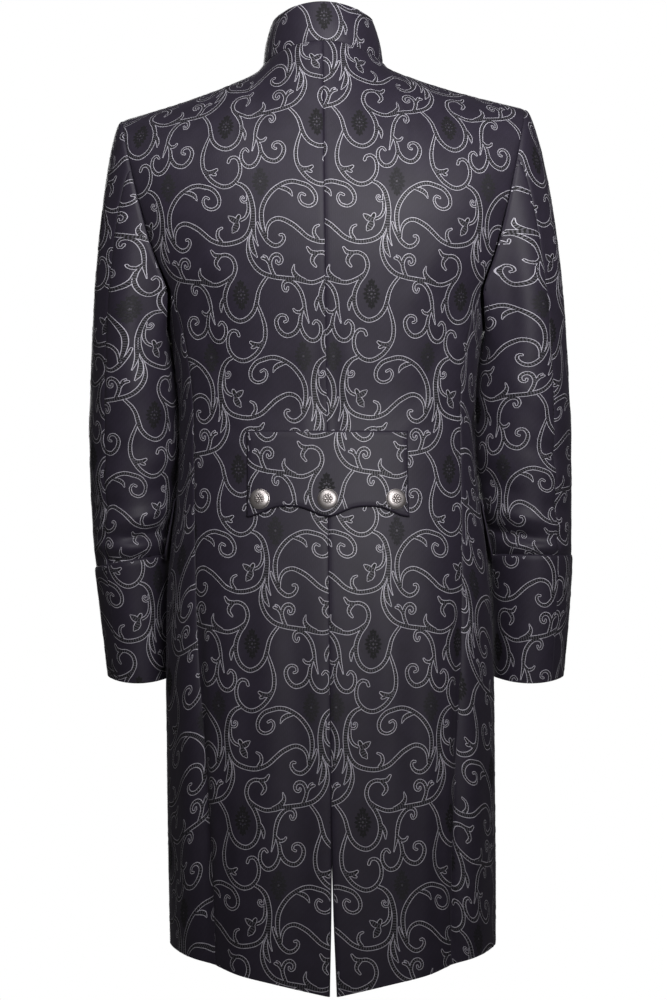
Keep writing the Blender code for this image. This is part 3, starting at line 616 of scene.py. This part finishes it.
def curve_through(points, spacing):
    """Even points on the smooth curve through the given ones, and its directions."""
    p = np.concatenate([[2 * points[0] - points[1]], points, [2 * points[-1] - points[-2]]])
    t = np.linspace(0, 1, 24, endpoint=False)[:, None]
    out = [
        0.5 * (2 * b + (c - a) * t + (2 * a - 5 * b + 4 * c - d) * t**2 + (3 * b - a - 3 * c + d) * t**3)
        for a, b, c, d in zip(p, p[1:], p[2:], p[3:])
    ]
    dense = np.concatenate([*out, p[-2:-1]])
    run = run_along(dense)
    count = max(4, round(run[-1] / spacing))
    even = np.stack([np.interp(np.linspace(0, run[-1], count + 1), run, dense[:, k]) for k in (0, 1)], -1)
    return even, unit(np.gradient(even, axis=0)), run[-1]


print(len(STEMS), "strokes and", len(PETALS), "petals in half a repeat")

# %% [markdown]
# Each stroke is woven as two pale outline threads round a near-black core, with a row of short grey
# floats down its middle. In the model each thread is a strip of faces. The cores lie a little higher
# than the outlines, so where two strokes meet, the one opens into the other without a line between.

# %% Strips of thread for half a repeat
THREAD, FLOAT_HALF = 2.6, 4.6  # half the width of an outline, half the length of a float, in squares
OUTLINE, CORE, DARK, FLOAT, FAINT = 0, 1, 2, 3, 4
chart_points, chart_faces, chart_kinds = [], [], []


def strip(a, b, level, kind):
    """A strip of faces between two rows of chart points, a on the left hand of the way they run."""
    start = len(chart_points)
    for p, q in zip(a, b):
        chart_points.extend([(p[0], p[1], level), (q[0], q[1], level)])
    for i in range(len(a) - 1):
        j = start + 2 * i
        chart_faces.append((j, j + 1, j + 3, j + 2))
        chart_kinds.append(kind)


def round_end(middle, way, wide, step_up):
    """Closes a stroke: the outline runs round its end, and the core fills it."""
    aside = np.array([way[1], -way[0]])
    turns = np.linspace(0, math.pi, 7)
    ring = np.cos(turns)[:, None] * aside + np.sin(turns)[:, None] * way
    inner = max(wide - THREAD, 0.5)
    strip(middle + ring * (wide + THREAD), middle + ring * inner, 0.12 + step_up, OUTLINE)
    half = np.linspace(0, math.pi / 2, 4)
    up, out = np.sin(half)[:, None] * way * inner, np.cos(half)[:, None] * aside * inner
    strip(middle + up + out, middle + up - out, 0.2 + step_up, CORE)


def band(points, half, closed, step_up, spacing):
    """One stroke: outlines, core and floats. half gives the half width along it, in squares."""
    line, way, length = curve_through(points, spacing)
    aside = np.stack([way[:, 1], -way[:, 0]], -1)
    share = np.linspace(0, 1, len(line))
    wide = np.interp(share, np.linspace(0, 1, len(half)), half)[:, None]
    inner = np.maximum(wide - THREAD, 0)
    strip(line + aside * inner, line - aside * inner, 0.2 + step_up, CORE)
    strip(line + aside * (wide + THREAD), line + aside * inner, 0.12 + step_up, OUTLINE)
    strip(line - aside * inner, line - aside * (wide + THREAD), 0.12 + step_up, OUTLINE)
    if closed[0] == "1":
        round_end(line[0], -way[0], float(wide[0, 0]), step_up)
    if closed[1] == "1":
        round_end(line[-1], way[-1], float(wide[-1, 0]), step_up)
    for place in np.arange(16, length - 14, 21):
        i = place / length * (len(line) - 1)
        k = int(i)
        spot = line[k] + (line[min(k + 1, len(line) - 1)] - line[k]) * (i - k)
        fill = np.interp(place / length, share, inner[:, 0]) - 2.0
        if fill > 3:
            ends = np.array([spot - way[k] * FLOAT_HALF, spot + way[k] * FLOAT_HALF])
            strip(ends + aside[k] * fill, ends - aside[k] * fill, 0.29 + step_up, FLOAT)


def petal(middle, angle, length, wide, level, kind):
    """A flat pointed petal, from middle outwards at angle."""
    way = np.array([math.cos(angle), math.sin(angle)])
    aside = np.array([way[1], -way[0]])
    shares = np.array([0.0, 0.3, 0.65, 1.0])
    half = wide * np.array([0.35, 1.0, 0.8, 0.05])
    line = np.array(middle) + way * (shares * length)[:, None]
    strip(line + aside * half[:, None], line - aside * half[:, None], level, kind)


def palmette(x, y, strong):
    """The dark figure between the scrolls: rings of petals round a small grey eye, a bud at each end."""
    dark = DARK if strong else FAINT
    rings = (  # how many petals, how far out they start, their length, width and thread
        (14, 46, 36, 13, dark), (12, 28, 26, 10, dark), (8, 26, 15, 4.4, FLOAT if strong else dark),
        (7, 4, 24, 10, dark), (5, 1, 11, 3.4, FLOAT),
    )
    for ring, (count, start, length, wide, kind) in enumerate(rings):
        for k in range(count):
            a = 2 * math.pi * (k + 0.5 * ring) / count
            spot = (x + 0.8 * start * math.cos(a), y + 1.3 * start * math.sin(a))
            petal(spot, a, length, wide, 0.1 + 0.02 * ring, kind)
    for way in (-1, 1):
        for k in (-1, 0, 1):
            angle = way * math.pi / 2 - way * 0.75 * k
            petal((x + 7 * k, y + 86 * way), angle, 38 - 8 * abs(k), 12, 0.14, dark)


for number, (half, closed, *places) in enumerate(STEMS + PETALS):
    points = np.array(places, float).reshape(-1, 2)
    band(points, half, closed, 0.004 * (number % 8), 15.0 if number < len(STEMS) else 12.0)
for x, y, strong in FIGURES:
    palmette(x, y, strong)
CHART = np.array(chart_points) * (SQUARE * MM, SQUARE_DOWN * MM, MM)
QUADS, KINDS = np.array(chart_faces), np.array(chart_kinds)
print("half a repeat:", len(QUADS), "faces")

# %% [markdown]
# To lay the chart on a panel, the panel is thought of as flat again: each grid point gets its
# distance round from a grain line and its distance down from a level line. The chart's points are
# then found on the grid, and stand a fifth of a millimetre proud of the cloth.

# %% Laying the chart on a panel
NEAR, PROUD = 2 * MM, 0.1 * MM  # how near a point must be found, and how far all threads stand off


def flat_places(grid, row, column):
    """Flat places (right, down) in metres of every grid point, from one row and one column."""
    across, along = run_along(grid, 1), run_along(grid)
    return across - across[:, column : column + 1], along[row : row + 1] - along


def upright_places(grid, row, column):
    """The same for a sleeve, whose grain hangs straight down however its rows lean into the armhole."""
    level = run_along(grid[row])
    way = unit(np.gradient(grid, axis=1) * (1, 1, 0))
    steps = np.diff(grid, axis=0)
    aside = (steps * unit(way[1:] + way[:-1])).sum(-1)
    fall = np.sqrt(np.maximum((steps**2).sum(-1) - aside**2, 1e-12))
    top = np.zeros((1, grid.shape[1]))
    aside, fall = (np.concatenate([top, np.cumsum(part, axis=0)]) for part in (aside, fall))
    right = level - level[column] + aside - aside[row : row + 1]
    steady = np.maximum.accumulate(right, axis=1) + 1e-6 * np.arange(grid.shape[1])
    return steady, fall[row : row + 1] - fall


def extended(values, known, at):
    """np.interp that runs on straight past both ends."""
    found = np.interp(values, known, at)
    low, high = (at[1] - at[0]) / (known[1] - known[0]), (at[-1] - at[-2]) / (known[-1] - known[-2])
    found = np.where(values < known[0], at[0] + (values - known[0]) * low, found)
    return np.where(values > known[-1], at[-1] + (values - known[-1]) * high, found)


def sample(values, row, column):
    """Bilinear values of a grid at fractional rows and columns."""
    rows, columns = values.shape[:2]
    row, column = np.clip(row, 0, rows - 1), np.clip(column, 0, columns - 1)
    r, c = np.minimum(row.astype(int), rows - 2), np.minimum(column.astype(int), columns - 2)
    fr, fc = row - r, column - c
    if values.ndim == 3:
        fr, fc = fr[:, None], fc[:, None]
    return (
        values[r, c] * (1 - fr) * (1 - fc) + values[r + 1, c] * fr * (1 - fc)
        + values[r, c + 1] * (1 - fr) * fc + values[r + 1, c + 1] * fr * fc
    )


def lay_chart(grid, places, shift, keep):
    """Points, faces and kinds of all the chart's strips that fall on this grid, and that keep lets pass."""
    right, down = places
    rows, columns = right.shape
    u = np.linspace(right.min() - 0.02, right.max() + 0.02, 300)
    v = np.linspace(down.min() - 0.02, down.max() + 0.02, 500)
    to_column = np.array([extended(u, right[r], np.arange(columns)) for r in range(rows)])
    to_row = np.array([extended(v, down[::-1, c], np.arange(rows)[::-1]) for c in range(columns)])
    slopes = [np.gradient(values, axis=axis) for values in (right, down) for axis in (0, 1)]
    face_out = -normals(grid)
    all_points, all_faces, all_kinds, count = [], [], [], 0
    width, drop = REPEAT * MM, HALF_DROP * MM
    lowest, highest = (down.min() + shift[1]) / drop, (down.max() + shift[1]) / drop
    for j in range(math.floor(lowest) - 1, math.ceil(highest) + 1):
        turned = j % 2 == 1
        for i in range(-4, 6):
            x = TURN_OVER * SQUARE * MM - CHART[:, 0] if turned else CHART[:, 0]
            x, y = x + i * width - shift[0], CHART[:, 1] + j * drop - shift[1]
            if any(at.max() < flat.min() or at.min() > flat.max() for at, flat in ((x, right), (y, down))):
                continue
            column = np.full(len(x), columns / 2.0)
            for _ in range(4):
                row = sample(to_row, column, (y - v[0]) / (v[1] - v[0]))
                row = np.where(y < v[0], rows + 5, np.where(y > v[-1], -6, row))
                column = sample(to_column, row, (x - u[0]) / (u[1] - u[0]))
            for _ in range(8):  # Newton's steps, for rows that lean, as in a sleeve's cap
                r, c = np.clip(row, 0, rows - 1), np.clip(column, 0, columns - 1)
                x_row, x_column, y_row, y_column = (sample(slope, r, c) for slope in slopes)
                off_x = x - sample(right, r, c) - x_row * (row - r) - x_column * (column - c)
                off_y = y - sample(down, r, c) - y_row * (row - r) - y_column * (column - c)
                turn = x_row * y_column - x_column * y_row
                turn = np.where(np.abs(turn) < 1e-9, 1e-9, turn)
                row = row + np.clip((off_x * y_column - off_y * x_column) / turn, -5, 5)
                column = column + np.clip((off_y * x_row - off_x * y_row) / turn, -5, 5)
            inside = (row >= 0) & (row <= rows - 1) & (column >= 0) & (column <= columns - 1)
            inside &= (np.abs(off_x) < NEAR) & (np.abs(off_y) < NEAR)
            chosen = inside[QUADS].sum(1) >= 2
            if not chosen.any():
                continue
            place = sample(grid, row, column) + sample(face_out, row, column) * (CHART[:, 2:] + PROUD)
            if keep is not None:
                chosen[chosen] = keep(place[QUADS[chosen]].mean(1))
            quads, kinds = QUADS[chosen][:, :: -1 if turned else 1], KINDS[chosen]
            used, index = np.unique(quads, return_inverse=True)
            all_points.append(place[used])
            all_faces.append(index.reshape(quads.shape) + count)
            all_kinds.append(kinds)
            count += len(used)
    return [np.concatenate(part) for part in (all_points, all_faces, all_kinds)]


print("chart scale", REPEAT, "by", 2 * HALF_DROP, "mm")

# %% [markdown]
# The ground of the brocade is warp satin: long smooth floats that give a soft sheen along the cloth,
# with the fine diagonal of its binding. Its threads are about 0.25 mm apart, too fine for the
# picture, so they are drawn at 1.1 mm.

# %% Brocade materials
THREAD_SPACING, SLANT_SPACING = 1.1 * MM, 1.87 * MM


def satin(name, colour, light, rough):
    """Satin ground: colour to light across its threads, in the cloth's own flat places."""
    made, shader = new_material(name, Metallic=0.0, IOR=1.5, Specular_IOR_Level=0.34, Roughness=rough,
                                Sheen_Weight=0.07, Sheen_Roughness=0.45, Sheen_Tint=linear("#B9B4C6"))
    place = add(made, "ShaderNodeUVMap", {"uv_map": "flat"})
    warp = add(made, "ShaderNodeTexWave", {"bands_direction": "X"}, Vector=(place, 0),
               Scale=math.pi / 20 / THREAD_SPACING, Distortion=0.6, Detail=1.0)
    twill = add(made, "ShaderNodeTexWave", {"bands_direction": "DIAGONAL"}, Vector=(place, 0),
                Scale=math.pi / 20 / SLANT_SPACING, Distortion=0.4, Detail=1.0)
    both = add(made, "ShaderNodeMath", {"operation": "MULTIPLY"}, i0=(warp, 1), i1=(twill, 1))
    slub = add(made, "ShaderNodeTexNoise", Vector=(place, 0), Scale=38.0, Detail=3.0, Roughness=0.6)
    mixed = add(made, "ShaderNodeMath", {"operation": "MULTIPLY_ADD"}, i0=(both, 0), i1=0.16, i2=(slub, 0))
    relief = add(made, "ShaderNodeBump", Strength=0.12, Distance=0.0003, Height=(both, 0))
    feed(made, shader, Base_Color=ramp(made, (mixed, 0), (0.3, 1.0), (colour, light)), Normal=relief)
    return made


def floss(name, colour, light, rough):
    """Silk thread: the colour changes a little from place to place, as twisted thread does."""
    made, shader = new_material(name, Metallic=0.0, IOR=1.5, Roughness=rough)
    place = add(made, "ShaderNodeTexCoord")
    grain = add(made, "ShaderNodeTexNoise", Vector=(place, 3), Scale=600.0, Detail=1.0)
    feed(made, shader, Base_Color=ramp(made, (grain, 0), (0.35, 0.7), (colour, light)))
    return made


ground = satin("charcoal_satin_ground", "#2A2531", "#342E3D", 0.55)
reverse = satin("brocade_reverse", "#2B2A2E", "#39373C", 0.7)
silks = [floss(*looks) for looks in (  # in the order of OUTLINE, CORE, DARK, FLOAT, FAINT
    ("silver_lilac_silk_outline", "#B2AEBA", "#D4D0DC", 0.45),
    ("black_silk_core", "#08070A", "#131116", 0.75), ("dark_figure_silk", "#0E0C10", "#17151A", 0.8),
    ("grey_silk_float", "#3F3B45", "#504C57", 0.5), ("faint_figure_silk", "#1A181E", "#242228", 0.72),
)]
print("cloth materials", ground.name, reverse.name, [silk.name for silk in silks])

# %% [markdown]
# One function makes a cloth piece from its grid. Seam allowances are turned to the inside along the
# edges that are sewn, so no light comes through a seam, and the cloth sinks into it. The wall comes
# from a Solidify modifier. The threads are a second piece that goes with the sheet. The shifts lay the
# chart as the real cutter laid the cloth, which isn't matched over the seams.

# %% Make a cloth piece
SEAM_SINK, SEAM_REACH = 0.9 * MM, 2.2 * MM
SEAM_PAST = 2.2  # how far the turned allowances cross each other, in millimetres


def sunk_at(grid, edges):
    """The grid, its sewn edges drawn inwards into the seam's groove."""
    face_in = normals(grid)
    total = np.zeros(grid.shape[:2])
    across, along = run_along(grid, 1), run_along(grid)
    ways = {"left": across, "right": across[:, -1:] - across, "bottom": along, "top": along[-1:] - along}
    for edge in edges:
        total = np.maximum(total, np.exp(-((ways[edge] / SEAM_REACH) ** 2)))
    return grid + face_in * (total * SEAM_SINK)[..., None]


def with_allowance(grid, edges, depth):
    """Extra points turned inwards along the sewn edges, and a little past the seam, to shut it."""
    face_in = normals(grid)
    for edge, axis, way in (("left", 1, 1), ("right", 1, -1), ("top", 0, -1), ("bottom", 0, 1)):
        if edge in edges:
            lines, inwards = (part.swapaxes(0, axis)[::way] for part in (grid, face_in))
            added = lines[:1] + inwards[:1] * depth + unit(lines[:1] - lines[1:2]) * (SEAM_PAST * MM)
            pairs = (added, lines), (inwards[:1], inwards)
            grid, face_in = (np.concatenate(pair)[::way].swapaxes(0, axis) for pair in pairs)
    return grid


def mesh_piece(name, points, faces, kinds, materials, flat=None):
    mesh = bpy.data.meshes.new(name)
    mesh.from_pydata(np.asarray(points).tolist(), [], np.asarray(faces).tolist())
    for material in materials:
        mesh.materials.append(material)
    mesh.polygons.foreach_set("material_index", np.asarray(kinds, dtype=np.int32))
    mesh.shade_smooth()
    if flat is not None:
        corner = np.empty(len(mesh.loops), np.int32)
        mesh.loops.foreach_get("vertex_index", corner)
        layer = mesh.uv_layers.new(name="flat")
        layer.data.foreach_set("uv", flat[corner].astype(np.float32).ravel())
    made = bpy.data.objects.new(name, mesh)
    bpy.context.scene.collection.objects.link(made)
    return made


SHIFTS = {  # the chart's place at each panel's grain line and level, in millimetres
    "back_left": (25.5, -117.6), "back_right": (-0.9, -117.6), "side_left": (9, 250), "side_right": (49, 220),
    "front_left": (19, 260), "front_right": (59, 260), "top_sleeve_left": (39, 220),
    "top_sleeve_right": (60.9, -94.4), "under_sleeve_left": (64.3, 9.5), "under_sleeve_right": (51, 15.9),
    "cuff_left": (65.7, 127.8), "cuff_right": (53.2, -20), "collar": (33, -28), "half_belt": (49.2, 75),
    "pocket_flap_left": (19, 0), "pocket_flap_right": (0, -20),
}
LEANS = {"back_left": -0.038, "back_right": 0.0135, "under_sleeve_right": 0.03}  # off the straight grain
LEANS_ABOVE = 60 * MM  # from this far below the level upwards
cut_list = []


def cloth(name, node, grid, level=0, grain=None, sewn=(), depth=3.5,
          keep=None, hangs=0.0, gathered=1.0):
    """A cloth piece in metres, rows upwards and columns to the viewer's right of its outer face.

    level and grain are the row and the column that the cutter lays the cloth by. hangs is the share
    of the upright layout, and gathered how much of the cloth's length is taken up.
    """
    grain = grid.shape[1] // 2 if grain is None else grain
    right, down = aside, below = flat_places(grid, level, grain)
    if hangs:
        pairs = zip((right, down), upright_places(grid, level, grain))
        aside, below = (flat * (1 - hangs) + straight * hangs for flat, straight in pairs)
    places = aside + LEANS.get(node, 0.0) * np.minimum(below - LEANS_ABOVE, 0), below * gathered
    grid = sunk_at(grid, sewn)
    threads = lay_chart(grid, places, [value * MM for value in SHIFTS[node]], keep)
    whole = with_allowance(grid, sewn, depth * MM)
    rows, columns = whole.shape[:2]
    uv = np.stack(flat_places(whole, min(level + ("bottom" in sewn), rows - 1), min(grain, columns - 1)), -1)
    index = np.arange(rows * columns).reshape(rows, columns)
    faces = np.stack([index[:-1, :-1], index[1:, :-1], index[1:, 1:], index[:-1, 1:]], -1)
    faces = faces.reshape(-1, 4)[:, ::-1]
    sheet = mesh_piece(name, whole.reshape(-1, 3), faces, np.zeros(len(faces)), [ground, reverse],
                       uv.reshape(-1, 2))
    wall = sheet.modifiers.new("wall", "SOLIDIFY")
    wall.thickness, wall.offset, wall.material_offset, wall.material_offset_rim = WALL * MM, -1, 1, 0
    wall.use_even_offset = False
    bpy.ops.object.select_all(action="DESELECT")
    bpy.context.view_layer.objects.active = sheet
    sheet.select_set(True)
    bpy.ops.object.modifier_apply(modifier=wall.name)
    pieces = [sheet, mesh_piece(name + "_scrolls", *threads, silks)]
    for piece in pieces:
        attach(piece, "root")
    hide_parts(node)
    across, up = right.max() - right.min(), down.max() - down.min()
    cells = np.cross(grid[1:, :-1] - grid[:-1, :-1], grid[:-1, 1:] - grid[:-1, :-1])
    area = float(np.linalg.norm(cells, axis=-1).sum())
    cut_list.append((name, round(across * 1000), round(up * 1000), round(area * 1e4)))
    made = sum(len(p.data.loop_triangles) or len(p.data.polygons) * 2 for p in pieces)
    print(name, "cut", cut_list[-1][1:3], "mm,", made, "triangles")

# %% [markdown]
# The backs, sides and fronts. Seen from outside, a left panel's columns run from the centre back to
# the viewer's left, so its grid is turned to have them run right.

# %% Body panels
def lift_lap(grid):
    lifted = grid.copy()
    lifted[..., 1] -= LAP_LIFT * (1 - step(LAP_FLAT, LAP_FADED, grid[..., 0]))
    return lifted


SIDES = ((1, "left"), (-1, "right"))
waist_row = int(np.abs(HEIGHTS - WAIST).argmin())
for sign, side in SIDES:
    centre = back_grid.shape[1] - 1 if sign == 1 else 0
    cloth(f"back_panel_{side}", f"back_{side}", posed(back_grid, sign)[:, ::-sign], waist_row, centre,
          ("left", "right", "top"))
    cloth(f"side_panel_{side}", f"side_{side}", posed(side_grid, sign)[:, ::-sign], waist_row,
          sewn=("left", "right", "top"))
    front = lift_lap(front_grid) if sign == 1 else front_grid
    cloth(f"front_panel_{side}", f"front_{side}", posed(front, sign)[:, ::sign], waist_row,
          sewn=("right" if sign == 1 else "left", "top"))

# %% [markdown]
# The sleeves are cut in two pieces with a seam behind the arm. Their tops sink into the armhole. The
# deep cuffs are bands laid over their lower ends, a little proud.

# %% Sleeves and cuffs
LAID_FROM = 60  # the row, counted from the sleeve's end, that the cutter lays a sleeve by


def above_cuff(points):
    return points[:, 2] > (CUFF_TOP - CUFF_SLANT - 4) * MM


SLEEVE_CUTS = (("top_sleeve", TOP_TURNS, 1.0, 1.0), ("under_sleeve", UNDER_TURNS, 0.6, 1.05))
for sign, side in SIDES:
    for name, turns, hangs, gathered in SLEEVE_CUTS:
        grid = posed(sleeve(turns, sign), sign)[:, ::sign]
        cloth(f"{name}_piece_{side}", f"{name}_{side}", grid, LAID_FROM, sewn=("left", "right", "top"),
              depth=2.5, keep=above_cuff, hangs=hangs, gathered=gathered)
    cloth(f"deep_cuff_{side}", f"cuff_{side}", posed(cuff(sign), sign)[:, ::sign], sewn=("top",), depth=1.6)

# %% [markdown]
# The stand collar, the half belt over the back waist and the hip pocket flaps.

# %% Collar, half belt and flaps
cloth("stand_collar", "collar", posed(collar(), 1)[:, ::-1], sewn=("bottom",), depth=2.4)
belt = posed(half_belt(), 1)[:, ::-1]
cloth("back_half_belt", "half_belt", belt, len(belt) - 1, sewn=("top", "bottom", "left", "right"), depth=0.9)
for sign, side in SIDES:
    cloth(f"hip_flap_{side}", f"pocket_flap_{side}", posed(flap(), sign)[:, ::-sign], sewn=("top",),
          depth=0.9)

# %% [markdown]
# The buttons are cast in a silvery metal: a smooth dome with a rolled edge and a raised rosette in its
# middle. One is turned and shaped from a cylinder, then copied onto each seat. How far each
# point stands up is kept as an attribute, because the dark patina stays in the hollows.

# %% One cast button
BUTTON_RADIUS, BUTTON_RIM, BUTTON_DOME = 11.2 * MM, 2.0 * MM, 3.3 * MM
ROSETTE = 6.0 * MM  # its radius, in the middle of the dome


def choose(kind, test):
    """Selects the faces or points of the object in edit mode that pass the test."""
    data = bpy.context.object.data
    mesh = bmesh.from_edit_mesh(data)
    for part in mesh.faces if kind == "faces" else mesh.verts:
        part.select = test(part)
    mesh.select_flush_mode()
    bmesh.update_edit_mesh(data)


def inset_and_lift(inset, rise):
    bpy.ops.mesh.inset(thickness=inset, depth=0)
    bpy.ops.transform.translate(value=(0, 0, rise))


bpy.ops.object.select_all(action="DESELECT")
bpy.ops.mesh.primitive_cylinder_add(vertices=64, radius=BUTTON_RADIUS, depth=BUTTON_RIM, end_fill_type="NGON",
                                    location=(0, 0, BUTTON_RIM / 2))
blank = bpy.context.object
blank.name = "button_blank"
bpy.ops.object.transform_apply(location=True, rotation=True, scale=True)
bpy.ops.object.mode_set(mode="EDIT")
bpy.ops.mesh.select_mode(type="FACE")
bpy.ops.mesh.select_all(action="DESELECT")
choose("faces", lambda face: face.calc_center_median().z > BUTTON_RIM * 0.9 and face.normal.z > 0.9)
for _ in range(2):  # the rolled edge
    inset_and_lift(0.2 * MM, 0.1 * MM)
field = radius = BUTTON_RADIUS - 0.2 * MM - 0.2 * MM
dome_base = top = BUTTON_RIM + 0.2 * MM
for share in (0.97, 0.91, 0.82, 0.7, 0.56, 0.42, 0.28, 0.14):
    lift = BUTTON_DOME * math.sqrt(1 - share**2)
    inset_and_lift(radius - field * share, dome_base + lift - top)
    radius, top = field * share, dome_base + lift
bpy.ops.mesh.poke()
bpy.ops.object.mode_set(mode="OBJECT")
print("button blank", len(blank.data.polygons), "faces")


def dome_at(distance):
    return dome_base + BUTTON_DOME * math.sqrt(max(0.0, 1 - (distance / field) ** 2))

# %% [markdown]
# A petal is a ball drawn out and pinched at its tip. Six long and six short ones stand round a boss.

# %% The rosette
def raised(name, distance, turn, size, tip=1.0):
    """A petal or boss: a ball scaled to size in mm, its outer half pinched to tip, set on the dome."""
    bpy.ops.object.select_all(action="DESELECT")
    bpy.ops.mesh.primitive_uv_sphere_add(segments=12, ring_count=8, radius=1.0)
    shape = bpy.context.object
    shape.name = name
    bpy.ops.object.mode_set(mode="EDIT")
    choose("points", lambda point: point.co.x > 0.3)
    if tip < 1:
        bpy.ops.transform.resize(value=(1, tip, 1), center_override=(1, 0, 0))
    bpy.ops.mesh.select_all(action="SELECT")
    bpy.ops.transform.resize(value=[length * MM for length in size], center_override=(0, 0, 0))
    bpy.ops.object.mode_set(mode="OBJECT")
    slope = (dome_at(distance + 0.5 * MM) - dome_at(max(0.0, distance - 0.5 * MM))) / MM
    shape.rotation_euler = (0, -math.atan(slope), turn)
    shape.location = (distance * math.cos(turn), distance * math.sin(turn), dome_at(distance))
    return shape


parts = [blank, raised("boss", 0.0, 0.0, (1.3, 1.3, 0.8))]
for k in range(6):
    parts.append(raised("long_petal", 3.7 * MM, k * math.pi / 3, (2.5, 1.3, 0.6), 0.45))
    parts.append(raised("short_petal", 4.6 * MM, (k + 0.5) * math.pi / 3, (1.6, 0.9, 0.42), 0.5))
bpy.ops.object.select_all(action="DESELECT")
for part in parts:
    part.select_set(True)
bpy.context.view_layer.objects.active = blank
bpy.ops.object.join()
cast_button = bpy.context.object
bpy.ops.object.shade_smooth_by_angle(angle=math.radians(38))
mesh = cast_button.data
points = np.array([tuple(point.co) for point in mesh.vertices])
far = np.hypot(points[:, 0], points[:, 1])
domed = np.array([dome_at(min(field, distance)) for distance in far])
stands = 0.02 + np.clip((points[:, 2] - domed) / (1.2 * MM), 0, 0.42)
stands = np.where((far > ROSETTE) & (far < field), 0.56, stands)  # the smooth part is rubbed bright
stands = np.where(far > field - 0.2 * MM, 0.5, stands)
mesh.attributes.new("stands", "FLOAT", "POINT").data.foreach_set("value", stands)
print("cast button", len(mesh.polygons), "faces")

# %% [markdown]
# Antique silver: plated and darkened metal. Its high places are rubbed bright and its hollows keep a
# brown-black patina, which is also rougher. A metal keeps the default IOR.

# %% Button metal and copies
metal, metal_shader = new_material("antique_silver_plate", Metallic=1.0)
stand = add(metal, "ShaderNodeAttribute", {"attribute_name": "stands"})
place = add(metal, "ShaderNodeTexCoord")
spots = add(metal, "ShaderNodeTexNoise", Vector=(place, 3), Scale=900.0, Detail=3.0, Roughness=0.65)
worn = add(metal, "ShaderNodeMath", {"operation": "MULTIPLY_ADD"}, i0=(spots, 0), i1=0.5, i2=(stand, 2))
tint = ramp(metal, (worn, 0), (0.18, 1.15 / 1.5), ("#3A2C24", "#D3CCCB"))
rough = add(metal, "ShaderNodeMapRange", Value=(worn, 0), To_Min=0.6, To_Max=0.42)
dents = add(metal, "ShaderNodeBump", Strength=0.25, Distance=0.0001, Height=(spots, 0))
feed(metal, metal_shader, Base_Color=tint, Roughness=rough, Normal=dents)


def seat_of(node):
    """The middle of a model button's back, and the way it faces, from its own points."""
    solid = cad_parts[node]
    points = np.array([tuple(solid.matrix_world @ v.co) for v in solid.data.vertices])
    middle = points.mean(0)
    way = np.linalg.svd(points - middle, full_matrices=False)[2][2]
    way = way * np.sign(way @ np.array([0.0, middle[1], 0.0]))
    return middle + way * ((points - middle) @ way).min(), way


for group, count in (("belt_button", 3), ("front_button", 7)):
    for number in range(1, count + 1):
        place, way = seat_of(f"{group}_{number}")
        turned = Vector(way).to_track_quat("Z", "Y").to_matrix().to_4x4()
        turned.translation = Vector(place)
        made = bpy.data.objects.new(f"cast_{group}_{number}", cast_button.data.copy())
        bpy.context.scene.collection.objects.link(made)
        made.data.transform(turned)
        made.data.materials.clear()
        made.data.materials.append(metal)
        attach(made, "root")
        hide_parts(f"{group}_{number}")
bpy.data.objects.remove(cast_button)
print("ten buttons set")

# %% Sizes and finish
print("cut list", cut_list)
